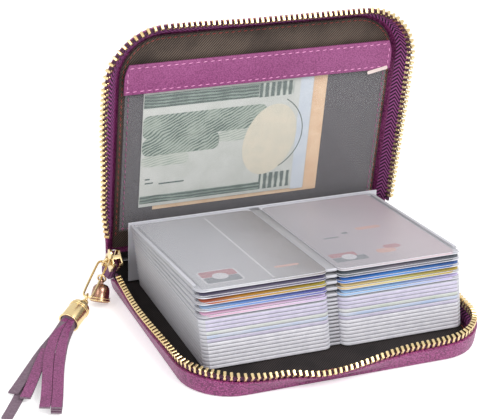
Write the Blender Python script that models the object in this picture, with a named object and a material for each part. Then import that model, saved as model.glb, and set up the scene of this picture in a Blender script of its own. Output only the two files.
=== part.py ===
# Card wallet with a zip on three sides, standing open on its back, in metres, +Z up.
# The origin is the middle of the lower cover's underside. +X runs along the spine,
# +Y runs from the free edge to the spine.
import math

import bmesh
import bpy
from mathutils import Matrix, Vector

for thing in list(bpy.data.objects):
    bpy.data.objects.remove(thing, do_unlink=True)

mm = 0.001

# Cards follow the common bank card size, and set the size of the rest
cardWidth = 54.0 * mm
cardLength = 85.6 * mm
cardThick = 0.76 * mm
cardCorner = 3.2 * mm

# Covers: outline at the foot of the zip wall, and the layers from the outside in
coverWidth = 134.0 * mm
coverDepth = 108.5 * mm
coverCorner = 22.0 * mm
footRound = 2.2 * mm
footBend = 0.3
leatherThick = 1.1 * mm
boardThick = 1.2 * mm
liningThick = 0.5 * mm
layerGap = 0.2 * mm
boardInset = 3.2 * mm
liningInset = 2.9 * mm
soleInset = 1.4 * mm

# Zip wall: leather outside, woven tape inside, one row of teeth along its edge
wallHeight = 6.3 * mm
tapeThick = 0.7 * mm
tapeFoot = 1.2 * mm
tapeGap = 0.4 * mm
tapeReveal = 0.8 * mm
tapeEndRise = 3.4 * mm
endRiseRun = 26.0 * mm
tapeStart = 9.0 * mm
upperTapeStart = 13.0 * mm
endDip = 3.4 * mm
endDipRun = 11.0 * mm
toothPitch = 2.45 * mm
toothWidth = 1.3 * mm
toothHeight = 1.7 * mm
toothFlare = 2.0
beadThick = 1.4 * mm
beadHeight = 1.1 * mm
touchGap = 0.3 * mm

# Lean of the zip wall away from upright, in degrees, by share of the way round
lowerLean = ((0.0, 14), (0.13, 25), (0.30, 12), (0.40, 40), (0.46, 58), (0.60, 25),
             (0.70, 6), (0.85, 20), (1.0, 14))
upperLean = ((0.0, 18), (0.10, 42), (0.22, 52), (0.38, 42), (0.50, 36), (0.62, 36),
             (0.78, 38), (0.92, 34), (1.0, 18))

# Leaves: clear sleeves that hold two cards side by side
leafCount = 18
filledLeaves = 5
turningLeaves = 4
columnGap = 5.0 * mm
leafMargin = 3.0 * mm
filmThick = 0.16 * mm
cardSlack = 0.06 * mm
tongueLength = 1.6 * mm
tongueThick = 0.5 * mm
tongueInset = 1.0 * mm
backWeld = 0.4 * mm
emptyLeafThick = 0.9 * mm
packBackTop = 32.0 * mm
packFrontTop = 40.3 * mm
# Leaves with cards stand further apart at the front than the empty ones
filledPitch = 2.9 * mm
filledSetback = 1.0 * mm
packLeft = -59.5 * mm
packShear = 3.5 * mm
binderThick = 0.6 * mm
binderSetback = 0.65 * mm

# Spine: a strip of leather in two runs, and the stance of the upper cover
spineThick = 1.6 * mm
spineSideGap = 3.0 * mm
lowerSpineRun = 21.0 * mm
lowerSpineTilt = 7.0
spineFreeGap = 0.8 * mm
upperHingeReach = 10.25 * mm
upperHingeUp = 13.5 * mm
upperCoverLean = 7.8
foldSetback = 2.5 * mm

# Inside of the upper cover
bandDrop = 28.0 * mm
bandHeight = 14.0 * mm
bandThick = 1.0 * mm
bandInset = 4.0 * mm
windowFoot = 12.0 * mm
windowTuck = 4.0 * mm
windowThick = 0.25 * mm
windowInset = 5.0 * mm
noteLength = 80.0 * mm
noteHeight = 64.0 * mm
noteThick = 0.25 * mm
frontNoteLeft = -53.3 * mm
backNoteLeft = -46.5 * mm
noteFoot = 20.6 * mm

# Slider and pull
sliderOutset = 0.2 * mm
sliderSetback = 4.75 * mm
sliderUp = 16.2 * mm
sliderLength = 9.0 * mm
sliderWidth = 8.4 * mm
sliderTailWidth = 6.6 * mm
sliderThick = 4.6 * mm
# Its outline, as shares of the half width and of the length, from the tail to the mouth
tailShape = ((0.75, 0.0), (1.0, 0.08), (1.0, 0.40))
mouthShape = ((1.0, 0.72), (0.93, 0.90), (0.70, 1.0))
channelNeck = 0.7
sliderMouthAngle = 50.0
postWidth = 2.6 * mm
postLength = 4.0 * mm
chainWidth = 4.6 * mm
chainThick = 2.6 * mm
bridgeWire = 1.2 * mm
bridgeRise = 3.0 * mm
bridgeMargin = 0.9 * mm
bridgeBend = 1.8 * mm
ringLength = 24.9 * mm
ringWidth = 5.6 * mm
ringWire = 1.2 * mm
ringSeat = 3.2 * mm
ringTuck = 1.8 * mm
ringAim = (-17.6 * mm, -16.2 * mm, -7.2 * mm)
tabLength = 9.5 * mm
tabWidth = 4.8 * mm
tabEyeWidth = 4.4 * mm
tabThick = 1.0 * mm
tabHole = 3.6 * mm
tabNeck = 2.6 * mm
tabSeat = 6.0 * mm
tabHeight = 1.3 * mm
tailLength = 19.0 * mm
tailTapeWidth = 6.4 * mm
tailTapeThick = 0.9 * mm
tailBend = 6.0 * mm
tailDrop = 5.0 * mm
stopLength = 3.4 * mm
stopWall = 0.9 * mm

# Charm and tassel
tasselLinkRadius = 2.4 * mm
charmLinkRadius = 1.9 * mm
linkWire = 0.9 * mm
charmPlace = 8.0 * mm
charmHeight = 8.0 * mm
charmRadius = 4.5 * mm
charmRim = 2.0 * mm
charmHollow = 1.2 * mm
# Its domed top, as shares of the radius and of the height above the rim
charmDome = ((0.34, 0.0), (0.62, 0.09), (0.80, 0.27), (0.87, 0.56), (0.90, 1.0))
charmMouth = 0.72
charmBevel = 0.6 * mm
charmTilt = 25.0
charmHeading = (-0.6, -0.8, 0.0)
eyeRadius = 1.3 * mm
eyeWire = 0.8 * mm
eyeLeg = 1.1 * mm
capRadius = 4.5 * mm
capLength = 12.5 * mm
capNeck = 1.4 * mm
neckRadius = 2.4 * mm
capShoulder = 1.1 * mm
capWall = 0.5 * mm
capEdge = 0.3 * mm
capTop = 1.0 * mm
rimAim = (-28.0 * mm, -26.5 * mm)
tipAim = (-54.1 * mm, -90.0 * mm)
fringeLength = 70.0 * mm
stripWidth = 4.2 * mm
stripRootWidth = 2.6 * mm
stripThick = 0.8 * mm
stripPitch = 1.1 * mm
stripGap = 0.12 * mm
stripLift = 0.15 * mm
stripRoot = 4.0 * mm
stripRows = 4
stripSteps = 10
stripLanding = 0.4
# Where a strip's curve leaves the cap's way and where it takes its own, by share of its reach
stripLeave = 0.3
stripTurn = 0.72
stripNudge = 0.02
# Splay in degrees and length of the strips that leave the bundle, by row and side
stripSplay = {(0, -1): (11, 75 * mm), (1, -1): (14, 58 * mm), (2, -1): (8, 62 * mm),
              (0, 1): (4, 62 * mm)}


def material(name, colour, roughness, metallic=0.0, alpha=1.0):
    made = bpy.data.materials.new(name)
    made.use_nodes = True
    shader = made.node_tree.nodes["Principled BSDF"]
    shader.inputs["Base Color"].default_value = (*colour, 1.0)
    shader.inputs["Roughness"].default_value = roughness
    shader.inputs["Metallic"].default_value = metallic
    shader.inputs["Alpha"].default_value = alpha
    return made


leather = material("purple_leather", (0.22, 0.035, 0.14), 0.55)
twill = material("brown_twill", (0.055, 0.035, 0.035), 0.8)
greyboard = material("greyboard", (0.30, 0.28, 0.26), 0.9)
weave = material("magenta_tape", (0.20, 0.03, 0.12), 0.8)
gold = material("pale_gold", (0.78, 0.62, 0.36), 0.25, 1.0)
frosted = material("frosted_film", (0.72, 0.72, 0.76), 0.35, 0.0, 0.6)
clearFilm = material("clear_film", (0.85, 0.87, 0.88), 0.15, 0.0, 0.3)
cardColours = ((0.55, 0.56, 0.57), (0.62, 0.50, 0.30), (0.30, 0.42, 0.62),
               (0.70, 0.55, 0.62), (0.35, 0.38, 0.40))


def put(name, mesh, finish, parent=None, smooth=None):
    # A bmesh becomes one named object, with flat faces unless an angle is given
    bmesh.ops.recalc_face_normals(mesh, faces=mesh.faces)
    data = bpy.data.meshes.new(name)
    mesh.to_mesh(data)
    mesh.free()
    if smooth is not None:
        data.shade_smooth()
        data.set_sharp_from_angle(angle=math.radians(smooth))
    data.materials.append(finish)
    made = bpy.data.objects.new(name, data)
    bpy.context.collection.objects.link(made)
    if parent is not None:
        made.parent = parent
    return made


def empty(name, matrix):
    made = bpy.data.objects.new(name, None)
    made.matrix_world = matrix
    bpy.context.collection.objects.link(made)
    return made


def basis(origin, x_axis, y_axis):
    # A placing matrix from two axes at right angles
    x_axis, y_axis = Vector(x_axis).normalized(), Vector(y_axis).normalized()
    z_axis = x_axis.cross(y_axis)
    turned = Matrix((x_axis, y_axis, z_axis)).transposed().to_4x4()
    return Matrix.Translation(origin) @ turned


def loft(rings, round_trip=False):
    # Rings of equal count joined by quads, with end caps unless the rings close
    mesh = bmesh.new()
    rows = [[mesh.verts.new(p) for p in ring] for ring in rings]
    count = len(rows[0])
    pairs = list(zip(rows, rows[1:]))
    if round_trip:
        pairs.append((rows[-1], rows[0]))
    for low, high in pairs:
        for i in range(count):
            j = (i + 1) % count
            mesh.faces.new((low[i], low[j], high[j], high[i]))
    if not round_trip:
        mesh.faces.new(rows[0])
        mesh.faces.new(rows[-1])
    return mesh


def prism(outline, low, high):
    # A flat outline in XY given thickness along Z
    mesh = bmesh.new()
    face = mesh.faces.new([mesh.verts.new((x, y, low)) for x, y in outline])
    grown = bmesh.ops.extrude_face_region(mesh, geom=[face])["geom"]
    for vert in [g for g in grown if isinstance(g, bmesh.types.BMVert)]:
        vert.co.z = high
    return mesh


def arc(centre, radius, start, end, steps):
    for i in range(steps + 1):
        angle = math.radians(start + (end - start) * i / steps)
        yield (centre[0] + radius * math.cos(angle), centre[1] + radius * math.sin(angle))


def round_rect(width, length, radius, steps=4):
    # Corners rounded alike, centred in X, from Y = 0 to Y = length
    half = width / 2 - radius
    points = []
    for cx, cy, start in ((half, radius, -90), (half, length - radius, 0),
                          (-half, length - radius, 90), (-half, radius, 180)):
        points += arc((cx, cy), radius, start, start + 90, steps)
    return points


def cover_outline(inset, foot, steps=8):
    # The cover's outline drawn in by an inset, square at the spine, from Y = foot
    half = coverWidth / 2 - inset
    reach = coverDepth - inset
    radius = coverCorner - inset
    points = [(-half, foot), (half, foot)]
    points += arc((half - radius, reach - radius), radius, 0, 90, steps)
    points += arc((-half + radius, reach - radius), radius, 90, 180, steps)
    return points


sideRun = coverDepth - coverCorner
cornerRun = math.pi / 2 * coverCorner
frontRun = coverWidth - 2 * coverCorner
rimLength = 2 * sideRun + 2 * cornerRun + frontRun


def rim_at(distance):
    # Point and outward direction on the rim, from the spine end at -X round to +X
    half = coverWidth / 2
    if distance <= sideRun:
        return Vector((-half, distance, 0)), Vector((-1, 0, 0))
    distance -= sideRun
    if distance <= cornerRun:
        angle = math.pi - distance / coverCorner
        out = Vector((math.cos(angle), math.sin(angle), 0))
        return Vector((-half + coverCorner, sideRun, 0)) + out * coverCorner, out
    distance -= cornerRun
    if distance <= frontRun:
        return Vector((-half + coverCorner + distance, coverDepth, 0)), Vector((0, 1, 0))
    distance -= frontRun
    if distance <= cornerRun:
        angle = math.pi / 2 - distance / coverCorner
        out = Vector((math.cos(angle), math.sin(angle), 0))
        return Vector((half - coverCorner, sideRun, 0)) + out * coverCorner, out
    return Vector((half, sideRun - (distance - cornerRun), 0)), Vector((1, 0, 0))


def lean_at(distance, table):
    # Smooth change between the listed leans
    share = distance / rimLength
    for (at, lean), (nxt, following) in zip(table, table[1:]):
        if share <= nxt:
            ease = 0.5 - 0.5 * math.cos(math.pi * (share - at) / (nxt - at))
            return math.radians(lean + (following - lean) * ease)
    return math.radians(table[-1][1])


def wall_frame(distance, table):
    # Foot of the wall, the way it climbs, and the way its outer face looks
    point, out = rim_at(distance)
    lean = lean_at(distance, table)
    climb = out * math.sin(lean) + Vector((0, 0, math.cos(lean)))
    face = out * math.cos(lean) - Vector((0, 0, math.sin(lean)))
    return point + Vector((0, 0, footRound)), climb, face, out


def end_rise(distance):
    # Near the spine the tape climbs to meet the slider
    nearest = min(distance, rimLength - distance)
    share = max(0.0, 1 - nearest / endRiseRun)
    return tapeEndRise * share * share


def end_dip(distance):
    # The leather wall is cut lower towards the spine
    nearest = min(distance, rimLength - distance)
    share = max(0.0, 1 - nearest / endDipRun)
    return endDip * share * share


def stations(start, end, corner_steps=10, side_steps=10, front_steps=16):
    marks = [0, sideRun, sideRun + cornerRun, sideRun + cornerRun + frontRun,
             rimLength - sideRun, rimLength]
    counts = (side_steps, corner_steps, front_steps, corner_steps, side_steps)
    found = []
    for low, high, count in zip(marks, marks[1:], counts):
        found += [low + (high - low) * i / count for i in range(count)]
    found = [start] + [d for d in found if start < d < end] + [end]
    return found


# Hinge points in the YZ plane, from the lower cover up to the upper one
coverBack = coverDepth / 2
beadRadius = spineThick / 2
hingeSetback = beadRadius + touchGap
lowerHinge = Vector((0, coverBack + hingeSetback, beadRadius + 0.05 * mm))
tilt = math.radians(lowerSpineTilt)
middleHinge = lowerHinge + lowerSpineRun * Vector((0, math.cos(tilt), math.sin(tilt)))
upperHinge = Vector((0, coverBack + upperHingeReach, upperHingeUp))
lean = math.radians(upperCoverLean)
upperClimb = Vector((0, -math.sin(lean), math.cos(lean)))
upperInward = Vector((0, -math.cos(lean), -math.sin(lean)))
axisDepth = lowerHinge.z

lowerPlace = basis(Vector((0, coverBack, 0)), (-1, 0, 0), (0, -1, 0))
upperPlace = basis(upperHinge + upperClimb * hingeSetback - upperInward * axisDepth,
                   (1, 0, 0), upperClimb)
lowerFrame = empty("lower_cover_place", lowerPlace)
upperFrame = empty("upper_cover_place", upperPlace)
linerTop = leatherThick + boardThick + liningThick + 2 * layerGap


def make_leather(name, parent, table):
    # Sole, foot turned up to the zip wall, and the wall itself, as one closed skin
    mesh = bmesh.new()
    rows = []
    for distance in stations(0, rimLength):
        foot, climb, face, out = wall_frame(distance, table)
        flat = foot - Vector((0, 0, footRound))
        crest = foot + climb * (wallHeight - end_dip(distance))
        inner = foot - face * leatherThick
        rows.append([mesh.verts.new(p) for p in (
            flat - out * soleInset,
            flat - out * soleInset * footBend + Vector((0, 0, footRound * footBend)),
            foot,
            crest,
            crest - face * leatherThick,
            inner,
            flat - out * (soleInset + leatherThick) + Vector((0, 0, leatherThick)),
        )])
    for low, high in zip(rows, rows[1:]):
        for i in range(6):
            mesh.faces.new((low[i], low[i + 1], high[i + 1], high[i]))
    mesh.faces.new([row[0] for row in rows])
    mesh.faces.new([row[6] for row in rows])
    # Spine edge: the two wall ends and the edge of the sole lie in one plane
    first, last = rows[0], rows[-1]
    mesh.faces.new(first + last[::-1])
    return put(name, mesh, leather, parent, 40)


def make_tape(name, parent, table, start):
    rings = []
    for distance in stations(start, rimLength - start):
        foot, climb, face, _ = wall_frame(distance, table)
        outer = foot - face * (leatherThick + tapeGap)
        low = outer + climb * tapeFoot
        high = outer + climb * (wallHeight + tapeReveal + end_rise(distance))
        rings.append((low, high, high - face * tapeThick, low - face * tapeThick))
    return put(name, loft(rings), weave, parent, 40)


def make_teeth(name, parent, table, start, phase):
    # The beaded edge of the tape, with a tooth clamped on it at every pitch
    end = rimLength - start
    count = int((end - start - toothWidth) / toothPitch)
    mesh = bmesh.new()
    rows = []
    for i in range(count):
        for part_way in (0, toothWidth):
            distance = start + (i + phase) * toothPitch + part_way
            foot, climb, face, _ = wall_frame(distance, table)
            rise = wallHeight + tapeReveal + end_rise(distance) + touchGap
            middle = foot - face * (leatherThick + tapeGap + tapeThick / 2) + climb * rise
            side = face * beadThick / 2
            top = climb * beadHeight
            rows.append([mesh.verts.new(p) for p in (
                middle + side, middle + side + top, middle - side + top, middle - side)])
    tooth = mesh.faces.layers.int.new("tooth")
    crowns = []
    for n, (low, high) in enumerate(zip(rows, rows[1:])):
        for i in range(4):
            j = (i + 1) % 4
            made = mesh.faces.new((low[i], low[j], high[j], high[i]))
            if i == 1 and n % 2 == 0:
                made[tooth] = n
                crowns.append(made)
    mesh.faces.new(rows[0])
    mesh.faces.new(rows[-1])
    grown = bmesh.ops.extrude_discrete_faces(mesh, faces=crowns)["faces"]
    for crown in grown:
        # Each tooth rises square to the bead and widens towards its head
        _, climb, face, _ = wall_frame(start + (crown[tooth] / 2 + phase) * toothPitch, table)
        centre = crown.calc_center_median()
        for vert in crown.verts:
            reach = (vert.co - centre).dot(face)
            vert.co += face * reach * (toothFlare - 1) + climb * toothHeight
    return put(name, mesh, gold, parent)


def make_panel(name, parent, finish, inset, low, high, foot):
    return put(name, prism(cover_outline(inset, foot), low, high), finish, parent)


def make_cover(side, parent, table, start, phase):
    make_leather(side + "_cover_leather", parent, table)
    low = leatherThick + layerGap
    make_panel(side + "_stiffener_board", parent, greyboard, boardInset,
               low, low + boardThick, foldSetback)
    low += boardThick + layerGap
    make_panel(side + "_lining", parent, twill, liningInset, low, low + liningThick,
               foldSetback)
    make_tape(side + "_zip_tape", parent, table, start)
    make_teeth(side + "_zip_teeth", parent, table, start, phase)


# The lower cover lies upside down to the upper, so its leans are listed the other way
lowerTable = tuple((1 - at, value) for at, value in reversed(lowerLean))
make_cover("lower", lowerFrame, lowerTable, tapeStart, 0.0)
make_cover("upper", upperFrame, upperLean, upperTapeStart, 0.5)


def spine_strip(name, start, end, setback, freeGap):
    # Rolled end on its own hinge; the far end is rolled too, or square where it is set back
    way = (end - start).normalized()
    square = Vector((0, -way.z, way.y))
    length = (end - start).length - freeGap
    profile = []
    turns = [(0.0, 90)] if setback else [(0.0, 90), (length, 270)]
    for centre, first in turns:
        for i in range(7):
            angle = math.radians(first + 180 * i / 6)
            profile.append(way * (centre + beadRadius * math.cos(angle))
                           + square * beadRadius * math.sin(angle))
    if setback:
        profile += [way * (length - setback) - square * beadRadius,
                    way * (length - setback) + square * beadRadius]
    half = coverWidth / 2 - spineSideGap
    rings = [[p + Vector((x, 0, 0)) for p in profile] for x in (-half, half)]
    made = put(name, loft(rings), leather)
    made.location = start
    return made


spine_strip("spine_lower_run", lowerHinge, middleHinge, foldSetback, 0)
# The open edge beside the upper cover swings past its foot, so it is cut short of it
spine_strip("spine_upper_run", middleHinge, upperHinge, 0, spineFreeGap)

# Leaves, bound along their back edge, fanning a little open towards the front
leafThick = cardThick + 2 * (cardSlack + filmThick)
leafLength = tongueLength + backWeld + cardSlack + cardLength
leafWidth = 2 * (cardWidth + leafMargin) + columnGap
packFoot = linerTop + touchGap
binderFront = coverBack - binderSetback - binderThick
leafHingeBack = binderFront - touchGap
backPitch = (packBackTop - packFoot) / leafCount
emptyLeaves = leafCount - filledLeaves
emptyTop = packFrontTop - filledSetback - (filledLeaves - 0.5) * filledPitch
frontPitch = (emptyTop - packFoot) / emptyLeaves


columnAt = (cardWidth + columnGap) / 2
pocketWidth = cardWidth + 2 * touchGap
pocketThick = cardThick + 2 * cardSlack


def use_tool(target, name, mesh, operation):
    # A hidden tool in the target's own frame, joined to it or cut from it
    tool = put(name, mesh, greyboard, target)
    tool.hide_render = True
    tool.display_type = "WIRE"
    change = target.modifiers.new(name, "BOOLEAN")
    change.operation = operation
    change.object = tool


def box(x, y, z):
    # A plain block between two bounds on each axis
    return prism([(x[0], y[0]), (x[1], y[0]), (x[1], y[1]), (x[0], y[1])], z[0], z[1])


def leaf_mesh(thick):
    # Sections from the rounded front edge back to the thin tongue that binds the leaf
    half = leafWidth / 2
    corner = arc((half - cardCorner, cardCorner - leafLength), cardCorner, -90, 0, 4)
    sections = [(x, y, thick / 2) for x, y in corner]
    sections += [(half, -tongueLength, thick / 2),
                 (half - tongueInset, -tongueLength, tongueThick / 2),
                 (half - tongueInset, 0, tongueThick / 2)]
    return loft([[(-x, y, -z), (x, y, -z), (x, y, z), (-x, y, z)] for x, y, z in sections])


def front_rise(index):
    # How much higher a leaf's middle lies at its front edge than at its back edge
    if index < emptyLeaves:
        front = packFoot + (index + 0.5) * frontPitch
    else:
        front = emptyTop + (index - emptyLeaves + 0.5) * filledPitch
    return front - packFoot - (index + 0.5) * backPitch


def make_leaf(index):
    filled = index >= emptyLeaves
    thick = leafThick if filled else emptyLeafThick
    made = put("leaf_%02d" % (index + 1), leaf_mesh(thick), frosted)
    middle = packLeft + leafWidth / 2 + packShear * (1 - index / (leafCount - 1))
    made.location = (middle, leafHingeBack, packFoot + (index + 0.5) * backPitch)
    climb = math.asin(front_rise(index) / leafLength)
    made.rotation_euler = (-climb, 0, 0)
    if filled:
        for side, label in ((-1, "left"), (1, "right")):
            add_card(made, index, side, label)
    return made


def add_card(leaf, index, side, label):
    # The pocket is open at the leaf's front edge, and the card stops level with it
    centre = side * columnAt
    pocketEnd = -tongueLength - backWeld
    pocket = box((centre - pocketWidth / 2, centre + pocketWidth / 2),
                 (-leafLength - cardCorner, pocketEnd), (-pocketThick / 2, pocketThick / 2))
    use_tool(leaf, "pocket_%02d_%s" % (index + 1, label), pocket, "DIFFERENCE")
    outline = round_rect(cardWidth, cardLength, cardCorner)
    colour = cardColours[(index + side) % len(cardColours)]
    plastic = material("card_%02d_%s_plastic" % (index + 1, label), colour, 0.35)
    card = put("card_%02d_%s" % (index + 1, label),
               prism(outline, -cardThick / 2, cardThick / 2), plastic, leaf)
    card.location = (centre, -leafLength, 0)


leaves = [make_leaf(index) for index in range(leafCount)]
packMiddle = packLeft + (leafWidth + packShear) / 2
binderHalf = (leafWidth + packShear) / 2
put("page_binder", box((packMiddle - binderHalf, packMiddle + binderHalf),
                       (binderFront, binderFront + binderThick),
                       (packFoot, packBackTop)), greyboard)

# Pocket in the upper cover: back note, front note, window film and leather band
backNoteLow = linerTop + touchGap
frontNoteLow = backNoteLow + noteThick + touchGap
windowLow = frontNoteLow + noteThick + touchGap
bandLow = windowLow + windowThick + touchGap
notePaper = material("note_paper", (0.62, 0.66, 0.55), 0.75)
peachPaper = material("peach_paper", (0.80, 0.55, 0.38), 0.75)


bandFoot = coverDepth - bandDrop
windowHalf = coverWidth / 2 - windowInset


def make_note(name, left, low, finish):
    put(name, box((left, left + noteLength), (noteFoot, noteFoot + noteHeight),
                  (low, low + noteThick)), finish, upperFrame)


def band_outline():
    # Its upper corners follow the cover's round corners
    half = coverWidth / 2 - bandInset
    radius = coverCorner - bandInset
    middle = coverDepth - coverCorner
    top = bandFoot + bandHeight
    end = math.degrees(math.asin((top - middle) / radius))
    points = [(-half, bandFoot), (half, bandFoot)]
    points += arc((half - radius, middle), radius, 0, end, 3)
    points += arc((radius - half, middle), radius, 180 - end, 180, 3)
    return points


make_note("note_back", backNoteLeft, backNoteLow, peachPaper)
make_note("note_front", frontNoteLeft, frontNoteLow, notePaper)
put("pocket_window", box((-windowHalf, windowHalf),
                         (windowFoot, bandFoot + windowTuck),
                         (windowLow, windowLow + windowThick)), clearFilm, upperFrame)
put("pocket_band", prism(band_outline(), bandLow, bandLow + bandThick), leather, upperFrame)


def sweep(path, normal, radius, sides=8, closed=False):
    # A round wire along a path that lies in the plane square to the normal
    count = len(path)
    rings = []
    for i, point in enumerate(path):
        before = path[i - 1] if closed or i else point
        after = path[(i + 1) % count] if closed or i + 1 < count else point
        side = normal.cross((after - before).normalized())
        rings.append([point + radius * (normal * math.cos(2 * math.pi * k / sides)
                                        + side * math.sin(2 * math.pi * k / sides))
                      for k in range(sides)])
    return loft(rings, closed)


def flat_path(points):
    return [Vector((x, y, 0)) for x, y in points]


def turned(profile, sides=20):
    # A profile of radius and height, turned about Z, with flat ends
    return loft([[(r * math.cos(2 * math.pi * k / sides), r * math.sin(2 * math.pi * k / sides), z)
                  for k in range(sides)] for r, z in profile])


# Slider, standing at the spine end of the left wall with its mouth up and forward
mouthTurn = math.radians(sliderMouthAngle)
mouthWay = Vector((0, -math.cos(mouthTurn), math.sin(mouthTurn)))
acrossWay = Vector((0, -math.sin(mouthTurn), -math.cos(mouthTurn)))
sliderCentre = Vector((-coverWidth / 2 - sliderOutset, coverBack - sliderSetback, sliderUp))
sliderPlace = basis(sliderCentre - mouthWay * sliderLength / 2, acrossWay, mouthWay)
channelHalf = chainWidth / 2 + touchGap
channelThick = chainThick + 2 * touchGap
slitThick = tailTapeThick + 2 * touchGap


def mirrored(points):
    return points + [(-x, y) for x, y in reversed(points)]


def make_slider():
    tail, mouth = sliderTailWidth / 2, sliderWidth / 2
    outline = mirrored([(tail * across, sliderLength * along) for across, along in tailShape]
                       + [(mouth * across, sliderLength * along) for across, along in mouthShape])
    slider = put("slider_body", prism(outline, -sliderThick / 2, sliderThick / 2), gold)
    slider.matrix_world = sliderPlace
    beyond = sliderLength + touchGap * 4
    fork = sliderLength - postLength
    flank = mouth - sliderThick / 2 + channelThick / 2
    channel = mirrored([(channelHalf, -touchGap * 4), (channelHalf, fork * channelNeck),
                        (flank, beyond), (postWidth / 2, beyond)])
    channel[4:4] = [(0, fork)]
    use_tool(slider, "chain_channel",
             prism(channel, -channelThick / 2, channelThick / 2), "DIFFERENCE")
    for side, label in ((-1, "front"), (1, "back")):
        span = sorted((side * (channelHalf - touchGap), side * sliderWidth))
        slit = box(span, (-touchGap * 4, beyond), (-slitThick / 2, slitThick / 2))
        use_tool(slider, "tape_slit_" + label, slit, "DIFFERENCE")
    foot = sliderThick / 2 - bridgeWire / 3
    crown = sliderThick / 2 + bridgeRise
    low, high = bridgeMargin + bridgeWire / 2, sliderLength - bridgeMargin - bridgeWire / 2
    arch = [(low, foot)]
    arch += arc((low + bridgeBend, crown - bridgeBend), bridgeBend, 180, 90, 4)
    arch += arc((high - bridgeBend, crown - bridgeBend), bridgeBend, 90, 0, 4)
    arch += [(high, foot)]
    path = [Vector((0, y, z)) for y, z in arch]
    use_tool(slider, "bridge", sweep(path, Vector((1, 0, 0)), bridgeWire / 2), "UNION")
    return slider


make_slider()


def tail_path():
    # Straight on from the slider, then bent level with the table
    points = [sliderCentre, sliderCentre - mouthWay * (sliderLength / 2 + tailDrop)]
    heading = mouthTurn
    steps = 5
    for i in range(steps):
        points.append(points[-1] + tailBend / steps
                      * Vector((0, math.cos(heading), -math.sin(heading))))
        heading -= mouthTurn / (steps - 1)
    level = tailLength - sliderLength / 2 - tailDrop - tailBend
    return points + [points[-1] + Vector((0, level, 0))]


def tail_section():
    # Two tapes face to face with the meshed teeth as a ridge on both sides
    tape, ridge = tailTapeWidth / 2, chainWidth / 2
    thin, thick = tailTapeThick / 2, chainThick / 2
    return ((tape, -thin), (tape, thin), (ridge, thin), (ridge, thick), (-ridge, thick),
            (-ridge, thin), (-tape, thin), (-tape, -thin), (-ridge, -thin),
            (-ridge, -thick), (ridge, -thick), (ridge, -thin))


def make_tail(name, side):
    path = tail_path()
    rings = []
    for i, point in enumerate(path):
        way = (path[min(i + 1, len(path) - 1)] - path[max(i - 1, 0)]).normalized()
        square = Vector((0, -way.z, way.y))
        rings.append([Vector((side * (across - point.x), point.y, point.z)) + square * along
                      for along, across in tail_section()])
    return put(name, loft(rings), weave)


make_tail("zip_tail_left", -1)
make_tail("zip_end_right", 1)

# Metal stop clamped on the right end of the zip
stop = put("zip_stop", box((-tailTapeWidth / 2 - touchGap - stopWall,
                            tailTapeWidth / 2 + touchGap + stopWall),
                           (-stopLength / 2, stopLength / 2),
                           (-channelThick / 2 - stopWall, channelThick / 2 + stopWall)), gold)
stop.matrix_world = basis(Vector((-sliderCentre.x, sliderCentre.y, sliderCentre.z))
                          - mouthWay * stopLength, acrossWay, mouthWay)
boreHalf = tailTapeWidth / 2 + touchGap
bore = box((-boreHalf, boreHalf), (-stopLength, stopLength),
           (-channelThick / 2, channelThick / 2))
use_tool(stop, "stop_bore", bore, "DIFFERENCE")

# Pull tab: its eye bar lies under the bridge, and its hole goes round the bridge's foot
tabPlace = sliderPlace @ Matrix.Translation((0, tabSeat, sliderThick / 2 + tabHeight))
eyeHalf, tabHalf, bar = tabEyeWidth / 2, tabWidth / 2, tabThick / 2
tip = tabLength - bar
tabOutline = [(-eyeHalf, -bar), (eyeHalf, -bar), (eyeHalf, tabHole), (tabNeck / 2, tabHole + tabThick)]
tabOutline += arc((0, tip - tabHalf), tabHalf, 0, 180, 8)
tabOutline += [(-tabNeck / 2, tabHole + tabThick), (-eyeHalf, tabHole)]
tab = put("pull_tab", prism(tabOutline, -bar, bar), gold)
tab.matrix_world = tabPlace
holeHalf = bridgeWire / 2 + 2 * touchGap
use_tool(tab, "tab_hole", box((-holeHalf, holeHalf), (bar, tabHole), (-tabThick, tabThick)),
         "DIFFERENCE")

# Pull ring, threaded on the bridge and hanging down past the wall
ringPivot = sliderPlace @ Vector((0, ringSeat, sliderThick / 2 + bridgeRise))
ringWay = (sliderCentre + Vector(ringAim) - ringPivot).normalized()
ringSide = (Vector((1, 0, 0)) - ringWay.x * ringWay).normalized()
ringNormal = ringSide.cross(ringWay)
ringReach = ringLength - ringWire - ringTuck
ringHalf = (ringWidth - ringWire) / 2
ringLine = list(arc((0, ringHalf - ringTuck), ringHalf, 180, 360, 6))
ringLine += arc((0, ringReach - ringHalf), ringHalf, 0, 180, 6)
ring = put("pull_ring", sweep(flat_path(ringLine), Vector((0, 0, 1)), ringWire / 2, 8, True),
           gold, None, 60)
ring.matrix_world = basis(ringPivot, ringSide, ringWay)


def make_link(name, pivot, way, across, radius):
    # A round link whose near wire lies inside the wire that it hangs on
    slack = radius - (linkWire + ringWire) / 2 - touchGap
    line = list(arc((slack, 0), radius, 0, 324, 9))
    link = put(name, sweep(flat_path(line), Vector((0, 0, 1)), linkWire / 2, 8, True),
               gold, None, 60)
    link.matrix_world = basis(pivot, way, across)
    return pivot + way * (slack + radius)


def eye_path(root):
    # Loop round the origin whose two legs run down to the root
    line = [(eyeRadius, root)]
    line += arc((0, 0), eyeRadius, 0, -180, 6)
    line += [(-eyeRadius, root)]
    return [Vector((0, y, z)) for y, z in line]


def hang(pivot, way, wireWay):
    # Frame with +Z along the hanging piece and +X along the wire that carries it
    sideways = (wireWay - wireWay.dot(way) * way).normalized()
    return basis(pivot, sideways, way.cross(sideways))


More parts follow.
